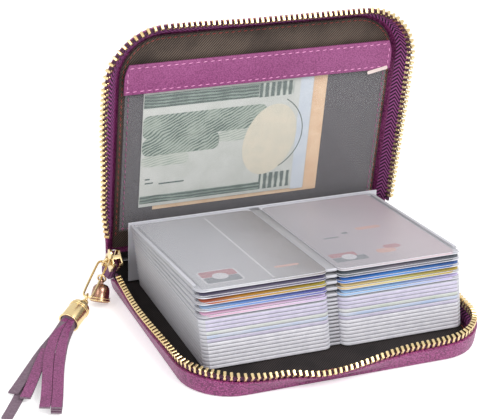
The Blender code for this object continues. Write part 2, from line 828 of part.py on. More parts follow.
# Charm: a link on the ring's inner wire, and a small bell that leans on the table
ringWire1 = ringPivot + ringWay * charmPlace + ringSide * ringHalf
down = (Vector((0, 0, -1)) + ringWay.z * ringWay).normalized()
charmPivot = make_link("charm_link", ringWire1, down, ringWay.cross(down), charmLinkRadius)
leanOut = math.radians(charmTilt)
heading = Vector(charmHeading).normalized()
charmWay = heading * math.sin(leanOut) + Vector((0, 0, -math.cos(leanOut)))
top, foot = eyeLeg, eyeLeg + charmHeight
bell = [(charmRadius * wide, top + (charmHeight - charmRim) * tall) for wide, tall in charmDome]
bell += [(charmRadius, foot - charmRim + charmBevel), (charmRadius, foot - charmBevel),
         (charmRadius - charmBevel, foot), (charmRadius * charmMouth, foot),
         (charmRadius * charmMouth, foot - charmHollow)]
charm = put("charm_bell", turned(bell), gold, None, 50)
charm.matrix_world = hang(charmPivot, charmWay, ringWay.cross(down))
use_tool(charm, "charm_eye",
         sweep(eye_path(top + eyeWire), Vector((1, 0, 0)), eyeWire / 2), "UNION")

# Tassel: link on the ring's far end, metal cap, and the cut leather fringe
ringEnd = ringPivot + ringWay * ringReach
tasselPivot = make_link("tassel_link", ringEnd, ringWay, ringNormal, tasselLinkRadius)
rimPoint = sliderCentre + Vector((*rimAim, capRadius + stripLift - sliderUp))
capWay = (rimPoint - tasselPivot).normalized()
capPlace = hang(tasselPivot, capWay, ringNormal)
inner, shoulder = capRadius - capWall, eyeLeg + capNeck
capFoot = eyeLeg + capLength
cap = put("tassel_cap", turned([
    (inner, shoulder + capTop), (inner, capFoot), (capRadius, capFoot),
    (capRadius, shoulder + capShoulder), (capRadius - capEdge, shoulder + capEdge),
    (capRadius - capShoulder, shoulder), (neckRadius, shoulder), (neckRadius, eyeLeg)], 20),
    gold, None, 40)
cap.matrix_world = capPlace
use_tool(cap, "cap_eye", sweep(eye_path(eyeLeg + eyeWire), Vector((1, 0, 0)), eyeWire / 2), "UNION")


def bezier(points, share):
    # A cubic curve by repeated mixing of its control points
    while len(points) > 1:
        points = [a.lerp(b, share) for a, b in zip(points, points[1:])]
    return points[0]


def strip_rings(row, column, turn, reach):
    # From inside the cap a strip sinks to the table and swings out to its own tip
    rim = capWay * capFoot
    rim.z = 0
    flat = Vector((capWay.x, capWay.y, 0)).normalized()
    main = sliderCentre + Vector((*tipAim, 0)) - tasselPivot - rim
    main.z = 0
    out = Matrix.Rotation(-turn, 3, "Z") @ main.normalized()
    root = rim - flat * stripRoot
    controls = [root, root + flat * reach * stripLeave, rim + out * reach * stripTurn, rim + out * reach]
    rowShift = row - (stripRows - 1) / 2
    rootRise = rowShift * stripPitch + capWay.z * (capFoot - stripRoot)
    tipRise = stripLift + stripThick / 2 + row * stripPitch - tasselPivot.z
    sink = capWay.z * reach * stripLanding
    rings = []
    for step in range(stripSteps + 1):
        share = step / stripSteps
        here = bezier(controls, share)
        ahead = bezier(controls, min(share + stripNudge, 1))
        side = Vector((0, 0, 1)).cross((ahead - bezier(controls, max(share - stripNudge, 0))).normalized())
        along = min(1.0, share / stripLanding)
        ease = along * along * (3 - 2 * along)
        width = stripRootWidth + (stripWidth - stripRootWidth) * ease
        here = here + side * column * (width + 2 * stripGap) / 2
        here.z = rootRise + (tipRise - rootRise) * ease + sink * along * (1 - along) ** 2
        up = Vector((0, 0, stripThick / 2))
        half = side * width / 2
        rings.append([here - half - up, here + half - up, here + half + up, here - half + up])
    return rings


def fringe_strips():
    # Most strips hang together, and the left ones splay outwards
    mesh = bmesh.new()
    for row in range(stripRows):
        for column in (-1, 1):
            turn, reach = stripSplay.get((row, column), (0, fringeLength))
            rows = [[mesh.verts.new(p) for p in ring]
                    for ring in strip_rings(row, column, math.radians(turn), reach)]
            for low, high in zip(rows, rows[1:]):
                for i in range(4):
                    mesh.faces.new((low[i], low[i - 3], high[i - 3], high[i]))
            mesh.faces.new(rows[0])
            mesh.faces.new(rows[-1])
    return mesh


collar = inner - touchGap
collarTop = shoulder + capTop + touchGap
fringe = put("tassel_fringe", fringe_strips(), leather)
fringe.location = tasselPivot
roll = turned([(collar, collarTop), (collar, capFoot - touchGap)], 16)
bmesh.ops.transform(roll, matrix=capPlace.to_3x3().to_4x4(), verts=roll.verts)
use_tool(fringe, "fringe_roll", roll, "UNION")

for name, point in (("lower hinge", lowerHinge), ("middle hinge", middleHinge),
                    ("upper hinge", upperHinge), ("slider bridge", ringPivot),
                    ("bridge way", mouthWay * 1000),
                    ("ring way", ringWay * 1000), ("tab pivot", tabPlace.translation),
                    ("tab axis", acrossWay * 1000), ("ring end", ringEnd),
                    ("tassel pivot", tasselPivot), ("cap way", capWay * 1000),
                    ("charm wire", ringWire1), ("charm pivot", charmPivot),
                    ("charm way", charmWay * 1000)):
    print(name, [round(value * 1000, 3) for value in point])
for leaf in leaves[-turningLeaves:]:
    print(leaf.name, [round(value * 1000, 3) for value in leaf.location],
          round(math.degrees(leaf.rotation_euler.x), 3))
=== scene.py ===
# Looks of the card wallet: leather, zip, card pages, notes and the hardware on the slider
import math

import bmesh
import bpy
from mathutils import Matrix, Vector


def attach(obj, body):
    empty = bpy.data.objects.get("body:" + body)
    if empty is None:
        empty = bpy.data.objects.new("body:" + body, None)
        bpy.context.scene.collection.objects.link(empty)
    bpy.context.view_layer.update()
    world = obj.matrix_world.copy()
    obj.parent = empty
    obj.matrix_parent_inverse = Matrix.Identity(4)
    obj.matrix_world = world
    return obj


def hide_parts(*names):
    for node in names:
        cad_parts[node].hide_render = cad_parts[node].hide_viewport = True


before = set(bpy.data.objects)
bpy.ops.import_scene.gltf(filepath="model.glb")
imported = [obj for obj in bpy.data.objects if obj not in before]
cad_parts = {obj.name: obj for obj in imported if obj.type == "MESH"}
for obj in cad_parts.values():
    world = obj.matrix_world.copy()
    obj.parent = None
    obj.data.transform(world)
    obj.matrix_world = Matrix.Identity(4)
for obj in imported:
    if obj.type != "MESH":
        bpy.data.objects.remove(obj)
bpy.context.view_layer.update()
mm = 0.001
print("frame loaded:", len(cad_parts), "nodes")


def linear(code, alpha=1.0):
    # sRGB hex to the linear values that the shader takes
    values = [int(code[i:i + 2], 16) / 255 for i in (1, 3, 5)]
    return (*[v / 12.92 if v < 0.04045 else ((v + 0.055) / 1.055) ** 2.4 for v in values], alpha)


def addNode(tree, kind, settings=(), links=()):
    # One node: its own settings or an input's value, a ramp's colour stops, then the links
    made = tree.nodes.new(kind)
    for key, value in dict(settings).items():
        if key == "stops":
            elements = made.color_ramp.elements
            elements[0].position, elements[-1].position = value[0][0], value[-1][0]
            inner = [elements.new(at) for at, _ in value[1:-1]]
            for element, (_, code) in zip((elements[0], *inner, elements[-1]), value):
                element.color = linear(code)
        elif isinstance(key, str) and hasattr(made, key):
            setattr(made, key, value)
        else:
            made.inputs[key].default_value = value
    for key, source in dict(links).items():
        tree.links.new(source, made.inputs[key])
    return made


def makeMaterial(name, settings, colour):
    # A Principled material; colour shows on the shader's base socket until a pattern is linked
    made = bpy.data.materials.new(name)
    made.use_nodes = True
    made.diffuse_color = linear(colour)
    shader = made.node_tree.nodes["Principled BSDF"]
    shader.inputs["Base Color"].default_value = linear(colour)
    for key, value in settings.items():
        shader.inputs[key].default_value = value
    return made, made.node_tree, shader


# Camera at the photograph's viewing angle
camera = {
    "azimuth": 22.787, "elevation": 23.494, "roll": 1.806,
    "distance": 655.76 * mm, "look": Vector((-24.64, -2.5, 56.93)) * mm,
    "lens": 113.78, "sensor": 36.0,
}
turn, rise = math.radians(camera["azimuth"]), math.radians(camera["elevation"])
backward = Vector((-math.sin(turn) * math.cos(rise), -math.cos(turn) * math.cos(rise), math.sin(rise)))
sideways = (-backward).cross(Vector((0, 0, 1))).normalized()
tip = Matrix.Rotation(math.radians(camera["roll"]), 3, -backward)
lensData = bpy.data.cameras.new("photo_camera")
lensData.lens = camera["lens"]
lensData.sensor_width = camera["sensor"]
lensData.clip_start = 0.01
eye = bpy.data.objects.new("photo_camera", lensData)
rightWay = tip.inverted() @ sideways
upWay = backward.cross(rightWay)
eye.matrix_world = (Matrix.Translation(camera["look"] + backward * camera["distance"])
                    @ Matrix((rightWay, upWay, backward)).transposed().to_4x4())
bpy.context.scene.collection.objects.link(eye)
bpy.context.scene.camera = eye

# Even world light and two soft lamps, each with its place, size and power, turned to the aim;
# camera and reflections see a white backdrop
studio = {
    "floorSize": 6.0, "floor": "#F7F7F7", "worldStrength": 0.66, "floorLift": 0.45,
    "key": ((0.25, -0.75, 0.85), 0.5, 7.5), "fill": ((-0.8, -0.35, 0.5), 0.5, 2.2),
    "aim": (0, 0, 0.04),
}
bpy.context.scene.view_settings.view_transform = "Standard"
world = bpy.data.worlds.new("studio")
bpy.context.scene.world = world
world.use_nodes = True


def seenDirectly(tree):
    # 1 for what the camera sees itself, in a reflection or through glass
    path = addNode(tree, "ShaderNodeLightPath")
    mirrored = addNode(tree, "ShaderNodeMath", {"operation": "MAXIMUM"},
                       {0: path.outputs["Is Camera Ray"], 1: path.outputs["Is Glossy Ray"]})
    return addNode(tree, "ShaderNodeMath", {"operation": "MAXIMUM"},
                   {0: mirrored.outputs[0], 1: path.outputs["Is Transmission Ray"]}).outputs[0]


air = world.node_tree
white = addNode(air, "ShaderNodeBackground", {"Color": linear("#FFFFFF"), "Strength": 1.0})
even = air.nodes["Background"]
even.inputs["Color"].default_value = linear("#FFFFFF")
even.inputs["Strength"].default_value = studio["worldStrength"]
both = addNode(air, "ShaderNodeMixShader", {}, {0: seenDirectly(air), 1: even.outputs[0],
                                               2: white.outputs[0]})
air.links.new(both.outputs[0], air.nodes["World Output"].inputs["Surface"])
ground = bmesh.new()
bmesh.ops.create_grid(ground, x_segments=1, y_segments=1, size=studio["floorSize"] / 2)
floorData = bpy.data.meshes.new("floor")
ground.to_mesh(floorData)
floorObject = bpy.data.objects.new("floor", floorData)
bpy.context.scene.collection.objects.link(floorObject)
# White paper sweep: matt, lifted to full white where no shadow falls on it
paper, tree, shader = makeMaterial("paper_sweep", {"Roughness": 0.9, "Specular IOR Level": 0.0},
                                   studio["floor"])
glow = addNode(tree, "ShaderNodeEmission", {"Color": linear("#FFFFFF"), "Strength": studio["floorLift"]})
lit = addNode(tree, "ShaderNodeAddShader", {}, {0: shader.outputs[0], 1: glow.outputs[0]})
either = addNode(tree, "ShaderNodeMixShader", {}, {0: seenDirectly(tree), 1: shader.outputs[0],
                                                  2: lit.outputs[0]})
tree.links.new(either.outputs[0], tree.nodes["Material Output"].inputs["Surface"])
floorData.materials.append(paper)
for lampName in ("key", "fill"):
    spot, size, power = studio[lampName]
    lampData = bpy.data.lights.new(lampName + "_lamp", "AREA")
    lampData.size = size
    lampData.energy = power
    lamp = bpy.data.objects.new(lampName + "_lamp", lampData)
    lamp.location = spot
    lamp.rotation_euler = (Vector(spot) - Vector(studio["aim"])).to_track_quat("Z", "Y").to_euler()
    bpy.context.scene.collection.objects.link(lamp)
print("camera and studio ready")


def place(name, mesh, finish, body, replaced=(), smooth=None, level=0):
    # A bmesh becomes a piece that rides on a body
    data = bpy.data.meshes.new(name)
    mesh.to_mesh(data)
    mesh.free()
    for part in finish if isinstance(finish, (list, tuple)) else [finish]:
        data.materials.append(part)
    if smooth is not None:
        data.shade_smooth()
        data.set_sharp_from_angle(angle=math.radians(smooth))
    made = bpy.data.objects.new(name, data)
    bpy.context.scene.collection.objects.link(made)
    if level:
        rounder = made.modifiers.new("rounder", "SUBSURF")
        rounder.levels = level
        rounder.render_levels = level
    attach(made, body)
    if replaced:
        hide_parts(*replaced)
    return made


# Points nearer than merge are one, heights within level are the same, faces within flat degrees
# are one face, and a face whose normal passes upright looks up or down
meshing = {"merge": 1e-6, "level": 1e-7, "flat": 0.5, "upright": 0.9}


def copyOf(node, edge=0.0, segments=2, angle=25.0):
    # A CAD node's solid, merged, its flat faces joined and its sharp edges rounded
    mesh = bmesh.new()
    mesh.from_mesh(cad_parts[node].data)
    bmesh.ops.remove_doubles(mesh, verts=mesh.verts, dist=meshing["merge"])
    bmesh.ops.dissolve_limit(mesh, angle_limit=math.radians(meshing["flat"]), verts=mesh.verts,
                             edges=mesh.edges)
    if edge:
        sharp = [e for e in mesh.edges if len(e.link_faces) == 2
                 and e.calc_face_angle(0) > math.radians(angle)]
        bmesh.ops.bevel(mesh, geom=sharp, offset=edge, offset_type="OFFSET", segments=segments,
                        profile=0.5, affect="EDGES", clamp_overlap=True, material=-1)
    return mesh


def shapeOf(mesh, name):
    # A bmesh becomes a small shape that stampAt copies
    data = bpy.data.meshes.new(name)
    mesh.to_mesh(data)
    mesh.free()
    return data


def stampAt(mesh, shape, matrix, paint=None):
    # Adds a copy of a small shape at a place, in one of the piece's finishes
    part = shape.copy()
    part.transform(matrix)
    if paint is not None:
        for face in part.polygons:
            face.material_index = paint
    mesh.from_mesh(part)
    bpy.data.meshes.remove(part)


def roundedSlab(width, length, radius, low, high, edge=0.0, segments=1, corner=4, paints=(0, 0)):
    # A flat plate with round corners, centred in X, from Y = 0 to -length; its flats and rims
    # take the two paints
    mesh = bmesh.new()
    bmesh.ops.create_grid(mesh, x_segments=1, y_segments=1, size=0.5)
    bmesh.ops.transform(mesh, matrix=Matrix.Translation((0, -length / 2, low))
                        @ Matrix.Diagonal((width, length, 1, 1)), verts=mesh.verts)
    if radius:
        bmesh.ops.bevel(mesh, geom=mesh.verts[:], offset=radius, offset_type="OFFSET",
                        segments=corner, profile=0.5, affect="VERTICES", material=-1)
    grown = bmesh.ops.extrude_face_region(mesh, geom=mesh.faces[:])["geom"]
    bmesh.ops.translate(mesh, vec=(0, 0, high - low),
                        verts=[g for g in grown if isinstance(g, bmesh.types.BMVert)])
    bmesh.ops.recalc_face_normals(mesh, faces=mesh.faces)
    if edge:
        rims = [e for e in mesh.edges if abs(e.verts[0].co.z - e.verts[1].co.z) < meshing["level"]]
        bmesh.ops.bevel(mesh, geom=rims, offset=edge, offset_type="OFFSET", segments=segments,
                        profile=0.5, affect="EDGES", material=-1)
    mesh.normal_update()
    for face in mesh.faces:
        face.material_index = paints[0] if abs(face.normal.z) > meshing["upright"] else paints[1]
    return mesh


def basis(origin, xWay, yWay):
    # A frame at a point, from its X and Y ways
    xWay, yWay = Vector(xWay).normalized(), Vector(yWay).normalized()
    return Matrix.Translation(origin) @ Matrix((xWay, yWay, xWay.cross(yWay))).transposed().to_4x4()


def sweepAlong(section, frames, closed=False):
    # A ring of points is carried from frame to frame; along and across are kept for the patterns
    mesh = bmesh.new()
    along = mesh.verts.layers.float.new("along")
    across = mesh.verts.layers.float.new("across")
    ring = [mesh.verts.new(frames[0] @ Vector((x, y, 0))) for x, y in section]
    for vert, (x, y) in zip(ring, section):
        vert[across] = y
    edges = [mesh.edges.new((ring[i - 1], ring[i])) for i in range(len(ring))]
    if not closed:
        mesh.faces.new(ring)
    travelled = 0.0
    for before, after in zip(frames, frames[1:]):
        travelled += (after.translation - before.translation).length
        grown = bmesh.ops.extrude_edge_only(mesh, edges=edges)["geom"]
        moved = [g for g in grown if isinstance(g, bmesh.types.BMVert)]
        edges = [g for g in grown if isinstance(g, bmesh.types.BMEdge)
                 and g.verts[0] in moved and g.verts[1] in moved]
        bmesh.ops.transform(mesh, matrix=after @ before.inverted(), verts=moved)
        for vert in moved:
            vert[along] = travelled
    if closed:
        bmesh.ops.remove_doubles(mesh, verts=mesh.verts, dist=meshing["merge"])
    else:
        bmesh.ops.holes_fill(mesh, edges=edges, sides=0)
    bmesh.ops.recalc_face_normals(mesh, faces=mesh.faces)
    return mesh


def roundSection(radius):
    # Eight points round a cord or a wire
    return [(radius * math.cos(i * math.pi / 4), radius * math.sin(i * math.pi / 4)) for i in range(8)]


# Cowhide, coated and embossed: round pebbles, with painted shade in the creases and a painted highlight on
# the crowns;
# each has its dark, middle and light colour, its grain and depth, and its roughness
leatherLook = {
    "hide": ("#5F204B", "#943C76", "#BC6FA0", 0.75 * mm, 0.1 * mm, 0.40),
    "band": ("#7C3566", "#974B80", "#AB6293", 0.55 * mm, 0.025 * mm, 0.46),
    "strap": ("#6B2F58", "#8E4677", "#A9608F", 0.7 * mm, 0.04 * mm, 0.5),
}


def pebbledLeatherWithPaintedShade(name, dark, mid, light, grain, depth, roughness):
    made, tree, shader = makeMaterial(name, {"Roughness": roughness, "Specular IOR Level": 0.45}, mid)
    where = addNode(tree, "ShaderNodeTexCoord").outputs["Object"]
    wobble = addNode(tree, "ShaderNodeTexNoise", {"Scale": 0.35 / grain, "Detail": 2.0}, {"Vector": where})
    bent = addNode(tree, "ShaderNodeVectorMath", {"operation": "MULTIPLY_ADD", 1: (0.6 * grain,) * 3},
                   {0: wobble.outputs["Color"], 2: where})
    cells = addNode(tree, "ShaderNodeTexVoronoi", {"feature": "SMOOTH_F1", "Scale": 1 / grain,
                                                   "Smoothness": 0.35},
                    {"Vector": bent.outputs["Vector"]})
    broad = addNode(tree, "ShaderNodeTexNoise", {"Scale": 45.0, "Detail": 3.0}, {"Vector": where})
    tone = addNode(tree, "ShaderNodeMath", {"operation": "MULTIPLY_ADD", 1: 0.4, 2: -0.2},
                   {0: broad.outputs["Fac"]})
    level = addNode(tree, "ShaderNodeMath", {"operation": "SUBTRACT"},
                    {0: cells.outputs["Distance"], 1: tone.outputs[0]})
    # Painted light: the pebbles' crowns take the light colour as a painted highlight, the creases the dark
    # one as painted shade
    colour = addNode(tree, "ShaderNodeValToRGB", {"stops": ((0.0, light), (0.35, mid), (0.80, dark))},
                     {"Fac": level.outputs[0]})
    tree.links.new(colour.outputs["Color"], shader.inputs["Base Color"])
    bump = addNode(tree, "ShaderNodeBump", {"Distance": depth, "invert": True},
                   {"Height": cells.outputs["Distance"]})
    tree.links.new(bump.outputs["Normal"], shader.inputs["Normal"])
    return made


hide = pebbledLeatherWithPaintedShade("pebbled_cowhide", *leatherLook["hide"])
bandHide = pebbledLeatherWithPaintedShade("smooth_cowhide", *leatherLook["band"])
strapHide = pebbledLeatherWithPaintedShade("split_cowhide", *leatherLook["strap"])

# A wave texture's bands repeat each straight / scale along an axis, and each diagonal / scale aslant
waveRun = {"straight": 0.314, "diagonal": 0.444}

# Polyester twill lining: fine diagonal ribs, dull in the valleys and a little shiny on the threads;
# the lower copy's darker colours are painted shade, for the shadow that the zip wall and the pages cast on
# the lower cover
twillLook = {"pitch": 0.85 * mm, "ribDepth": 0.05 * mm,
             "litAndShadedColours": {"upper": ("#2C2523", "#6E6055"), "lower": ("#131112", "#37302F")}}
twills = {}
for side, (dark, light) in twillLook["litAndShadedColours"].items():
    twills[side], tree, shader = makeMaterial(side + "_polyester_twill",
                                              {"Roughness": 0.7, "Specular IOR Level": 0.25}, dark)
    where = addNode(tree, "ShaderNodeTexCoord").outputs["Object"]
    turned = addNode(tree, "ShaderNodeMapping", {"Scale": (-1.0, 1.0, 1.0)}, {"Vector": where})
    ribs = addNode(tree, "ShaderNodeTexWave",
                   {"bands_direction": "DIAGONAL", "Scale": waveRun["diagonal"] / twillLook["pitch"],
                    "Distortion": 0.5, "Detail": 1.0, "Detail Scale": 4.0},
                   {"Vector": turned.outputs["Vector"]})
    blotch = addNode(tree, "ShaderNodeTexNoise", {"Scale": 90.0, "Detail": 2.0}, {"Vector": where})
    level = addNode(tree, "ShaderNodeMath", {"operation": "MULTIPLY"},
                    {0: ribs.outputs["Fac"], 1: blotch.outputs["Fac"]})
    colour = addNode(tree, "ShaderNodeValToRGB", {"stops": ((0.1, dark), (0.5, light))},
                     {"Fac": level.outputs[0]})
    tree.links.new(colour.outputs["Color"], shader.inputs["Base Color"])
    bump = addNode(tree, "ShaderNodeBump", {"Distance": twillLook["ribDepth"]},
                   {"Height": ribs.outputs["Fac"]})
    tree.links.new(bump.outputs["Normal"], shader.inputs["Normal"])

# Zip tape, woven polyester in herringbone: ribs that slant one way, then the other, across the
# tape; the ribs are coarsened from about 0.8 mm, so that they show at the size of the picture
tapeLook = {"column": 2.6 * mm, "pitch": 1.9 * mm, "dark": "#240F20", "light": "#A0528F",
            "ribDepth": 0.08 * mm}
tapeWeave, tree, shader = makeMaterial("herringbone_tape", {"Roughness": 0.65, "Specular IOR Level": 0.3},
                                       tapeLook["light"])
along = addNode(tree, "ShaderNodeAttribute", {"attribute_name": "along"}).outputs["Fac"]
across = addNode(tree, "ShaderNodeAttribute", {"attribute_name": "across"}).outputs["Fac"]
zigzag = addNode(tree, "ShaderNodeMath", {"operation": "PINGPONG", 1: tapeLook["column"]}, {0: across})
slope = addNode(tree, "ShaderNodeMath", {"operation": "ADD"}, {0: along, 1: zigzag.outputs[0]})
turns = addNode(tree, "ShaderNodeMath", {"operation": "MULTIPLY", 1: 2 * math.pi / tapeLook["pitch"]},
                {0: slope.outputs[0]})
wave = addNode(tree, "ShaderNodeMath", {"operation": "SINE"}, {0: turns.outputs[0]})
level = addNode(tree, "ShaderNodeMath", {"operation": "MULTIPLY_ADD", 1: 0.5, 2: 0.5},
                {0: wave.outputs[0]})
colour = addNode(tree, "ShaderNodeValToRGB",
                 {"stops": ((0.25, tapeLook["dark"]), (0.9, tapeLook["light"]))},
                 {"Fac": level.outputs[0]})
tree.links.new(colour.outputs["Color"], shader.inputs["Base Color"])
bump = addNode(tree, "ShaderNodeBump", {"Distance": tapeLook["ribDepth"]}, {"Height": level.outputs[0]})
tree.links.new(bump.outputs["Normal"], shader.inputs["Normal"])

# Zinc castings, gold plated and polished: bright with faint handling marks
goldLook = {"gold_plate": ("#E6CE9C", 0.22), "rose_gold_plate": ("#9E7A69", 0.26)}
plated = {}
for name, (code, roughness) in goldLook.items():
    plated[name], tree, shader = makeMaterial(name, {"Metallic": 1.0, "Roughness": roughness}, code)
    where = addNode(tree, "ShaderNodeTexCoord").outputs["Object"]
    marks = addNode(tree, "ShaderNodeTexNoise", {"Scale": 900.0, "Detail": 3.0}, {"Vector": where})
    rough = addNode(tree, "ShaderNodeMapRange", {"To Min": roughness * 0.6, "To Max": roughness * 1.6},
                    {"Value": marks.outputs["Fac"]})
    tree.links.new(rough.outputs["Result"], shader.inputs["Roughness"])
    bump = addNode(tree, "ShaderNodeBump", {"Distance": 0.01 * mm}, {"Height": marks.outputs["Fac"]})
    tree.links.new(bump.outputs["Normal"], shader.inputs["Normal"])
gold, roseGold = plated["gold_plate"], plated["rose_gold_plate"]


def plainFinish(name, code, roughness, other, grain, settings=()):
    # Paper, board, thread or vinyl: a colour and another near it, mixed by a fine grain in slight relief
    made, tree, shader = makeMaterial(name, {"Roughness": roughness, **dict(settings)}, code)
    where = addNode(tree, "ShaderNodeTexCoord").outputs["Object"]
    fibre = addNode(tree, "ShaderNodeTexNoise", {"Scale": 1 / grain, "Detail": 4.0}, {"Vector": where})
    colour = addNode(tree, "ShaderNodeValToRGB", {"stops": ((0.35, code), (0.68, other))},
                     {"Fac": fibre.outputs["Fac"]})
    tree.links.new(colour.outputs["Color"], shader.inputs["Base Color"])
    bump = addNode(tree, "ShaderNodeBump", {"Distance": 0.015 * mm}, {"Height": fibre.outputs["Fac"]})
    tree.links.new(bump.outputs["Normal"], shader.inputs["Normal"])
    return made


print("materials ready")

# Sizes that the pieces share with the solids; each lean is a share of the rim's length and degrees
cover = {
    "width": 134.0 * mm, "depth": 108.5 * mm, "corner": 22.0 * mm, "foot": 2.2 * mm,
    "leather": 1.1 * mm, "wall": 6.3 * mm, "tape": 0.7 * mm, "tapeFoot": 1.2 * mm,
    "tapeGap": 0.4 * mm, "tapeReveal": 0.8 * mm, "endRise": 3.4 * mm, "endRiseRun": 26.0 * mm,
    "liningTop": 3.2 * mm,
    "lowerLean": ((0.0, 14), (0.15, 20), (0.30, 6), (0.40, 25), (0.54, 58), (0.60, 40),
                  (0.70, 12), (0.87, 25), (1.0, 14)),
    "upperLean": ((0.0, 18), (0.10, 42), (0.22, 52), (0.38, 42), (0.50, 36), (0.62, 36),
                  (0.78, 38), (0.92, 34), (1.0, 18)),
    "upperHinge": Vector((0, 64.5, 13.5)) * mm, "upperTilt": 7.8, "hingeSetback": 1.1 * mm,
    "axisDepth": 0.85 * mm,
}
sideRun = cover["depth"] - cover["corner"]
cornerRun = math.pi / 2 * cover["corner"]
frontRun = cover["width"] - 2 * cover["corner"]
rimLength = 2 * sideRun + 2 * cornerRun + frontRun
lean = math.radians(cover["upperTilt"])
climbWay = Vector((0, -math.sin(lean), math.cos(lean)))
inwardWay = Vector((0, -math.cos(lean), -math.sin(lean)))
lowerPlace = basis(Vector((0, cover["depth"] / 2, 0)), (-1, 0, 0), (0, -1, 0))
upperPlace = basis(cover["upperHinge"] + climbWay * cover["hingeSetback"]
                   - inwardWay * cover["axisDepth"], (1, 0, 0), climbWay)
sides = {"lower": (lowerPlace, cover["lowerLean"], "lower_cover"),
         "upper": (upperPlace, cover["upperLean"], "upper_cover")}


def rimAt(distance):
    # Point and outward way on a cover's rim, from the spine end at -X round to +X
    half, radius = cover["width"] / 2, cover["corner"]
    if distance <= sideRun:
        return Vector((-half, distance, 0)), Vector((-1, 0, 0))
    distance -= sideRun
    if distance <= cornerRun:
        angle = math.pi - distance / radius
        out = Vector((math.cos(angle), math.sin(angle), 0))
        return Vector((-half + radius, sideRun, 0)) + out * radius, out
    distance -= cornerRun
    if distance <= frontRun:
        return Vector((-half + radius + distance, cover["depth"], 0)), Vector((0, 1, 0))
    distance -= frontRun
    if distance <= cornerRun:
        angle = math.pi / 2 - distance / radius
        out = Vector((math.cos(angle), math.sin(angle), 0))
        return Vector((half - radius, sideRun, 0)) + out * radius, out
    return Vector((half, sideRun - (distance - cornerRun), 0)), Vector((1, 0, 0))


def leanAt(distance, table):
    # The wall's lean at a point of the rim, eased from one row of the table to the next
    share = distance / rimLength
    for (at, low), (nxt, high) in zip(table, table[1:]):
        if share <= nxt:
            ease = 0.5 - 0.5 * math.cos(math.pi * (share - at) / (nxt - at))
            return math.radians(low + (high - low) * ease)
    return math.radians(table[-1][1])


def wallFrame(side, distance, up, inward):
    # A frame on the zip wall: X looks out of the wall, Y climbs it, Z runs along the rim
    placed, table, body = sides[side]
    point, out = rimAt(distance)
    angle = leanAt(distance, table)
    climb = out * math.sin(angle) + Vector((0, 0, math.cos(angle)))
    face = out * math.cos(angle) - Vector((0, 0, math.sin(angle)))
    origin = point + Vector((0, 0, cover["foot"])) + climb * up - face * inward
    return placed @ basis(origin, face, climb)


def endRise(distance):
    # The zip climbs a little towards both of its ends at the spine
    nearest = min(distance, rimLength - distance)
    share = max(0.0, 1 - nearest / cover["endRiseRun"])
    return cover["endRise"] * share * share


# Zip: tape with its beaded edge, and one metal tooth clamped on it at every pitch
zipSizes = {
    "starts": {"lower": 9.0 * mm, "upper": 13.0 * mm}, "phase": {"lower": 0.0, "upper": 0.5},
    "pitch": 2.45 * mm, "step": 1.6 * mm, "bead": 0.75 * mm,
    "toothWidth": 1.3 * mm, "toothThick": 2.5 * mm, "toothTall": 3.3 * mm, "toothRise": 1.35 * mm,
    "waist": (0.9, 1.0, 0.72), "legs": (0.8, 1.0, 0.9), "toothEdge": 0.26 * mm, "beadSeat": 0.8,
    "tapeSection": ((-0.5, 0), (0.5, 0), (0.5, 0.33), (0.5, 0.66), (0.5, 1), (-0.5, 1), (-0.5, 0.66),
                    (-0.5, 0.33)),
}


def toothShape():
    # A metal tooth: a block with a rounded head, narrower at the waist, whose legs hold the bead
    mesh = bmesh.new()
    bmesh.ops.create_cube(mesh, size=1.0)
    bmesh.ops.scale(mesh, vec=(zipSizes["toothThick"], zipSizes["toothTall"], zipSizes["toothWidth"]),
                    verts=mesh.verts)
    bmesh.ops.bisect_plane(mesh, geom=mesh.verts[:] + mesh.edges[:] + mesh.faces[:],
                           plane_co=(0, 0, 0), plane_no=(0, 1, 0))
    level = meshing["level"]
    bmesh.ops.scale(mesh, vec=zipSizes["waist"], verts=[v for v in mesh.verts if abs(v.co.y) < level])
    bmesh.ops.scale(mesh, vec=zipSizes["legs"], verts=[v for v in mesh.verts if v.co.y < -level])
    crown = [e for e in mesh.edges if e.verts[0].co.y > level or e.verts[1].co.y > level]
    bmesh.ops.bevel(mesh, geom=crown, offset=zipSizes["toothEdge"], offset_type="OFFSET", segments=1,
                    profile=0.5, affect="EDGES", material=-1)
    return shapeOf(mesh, "tooth")


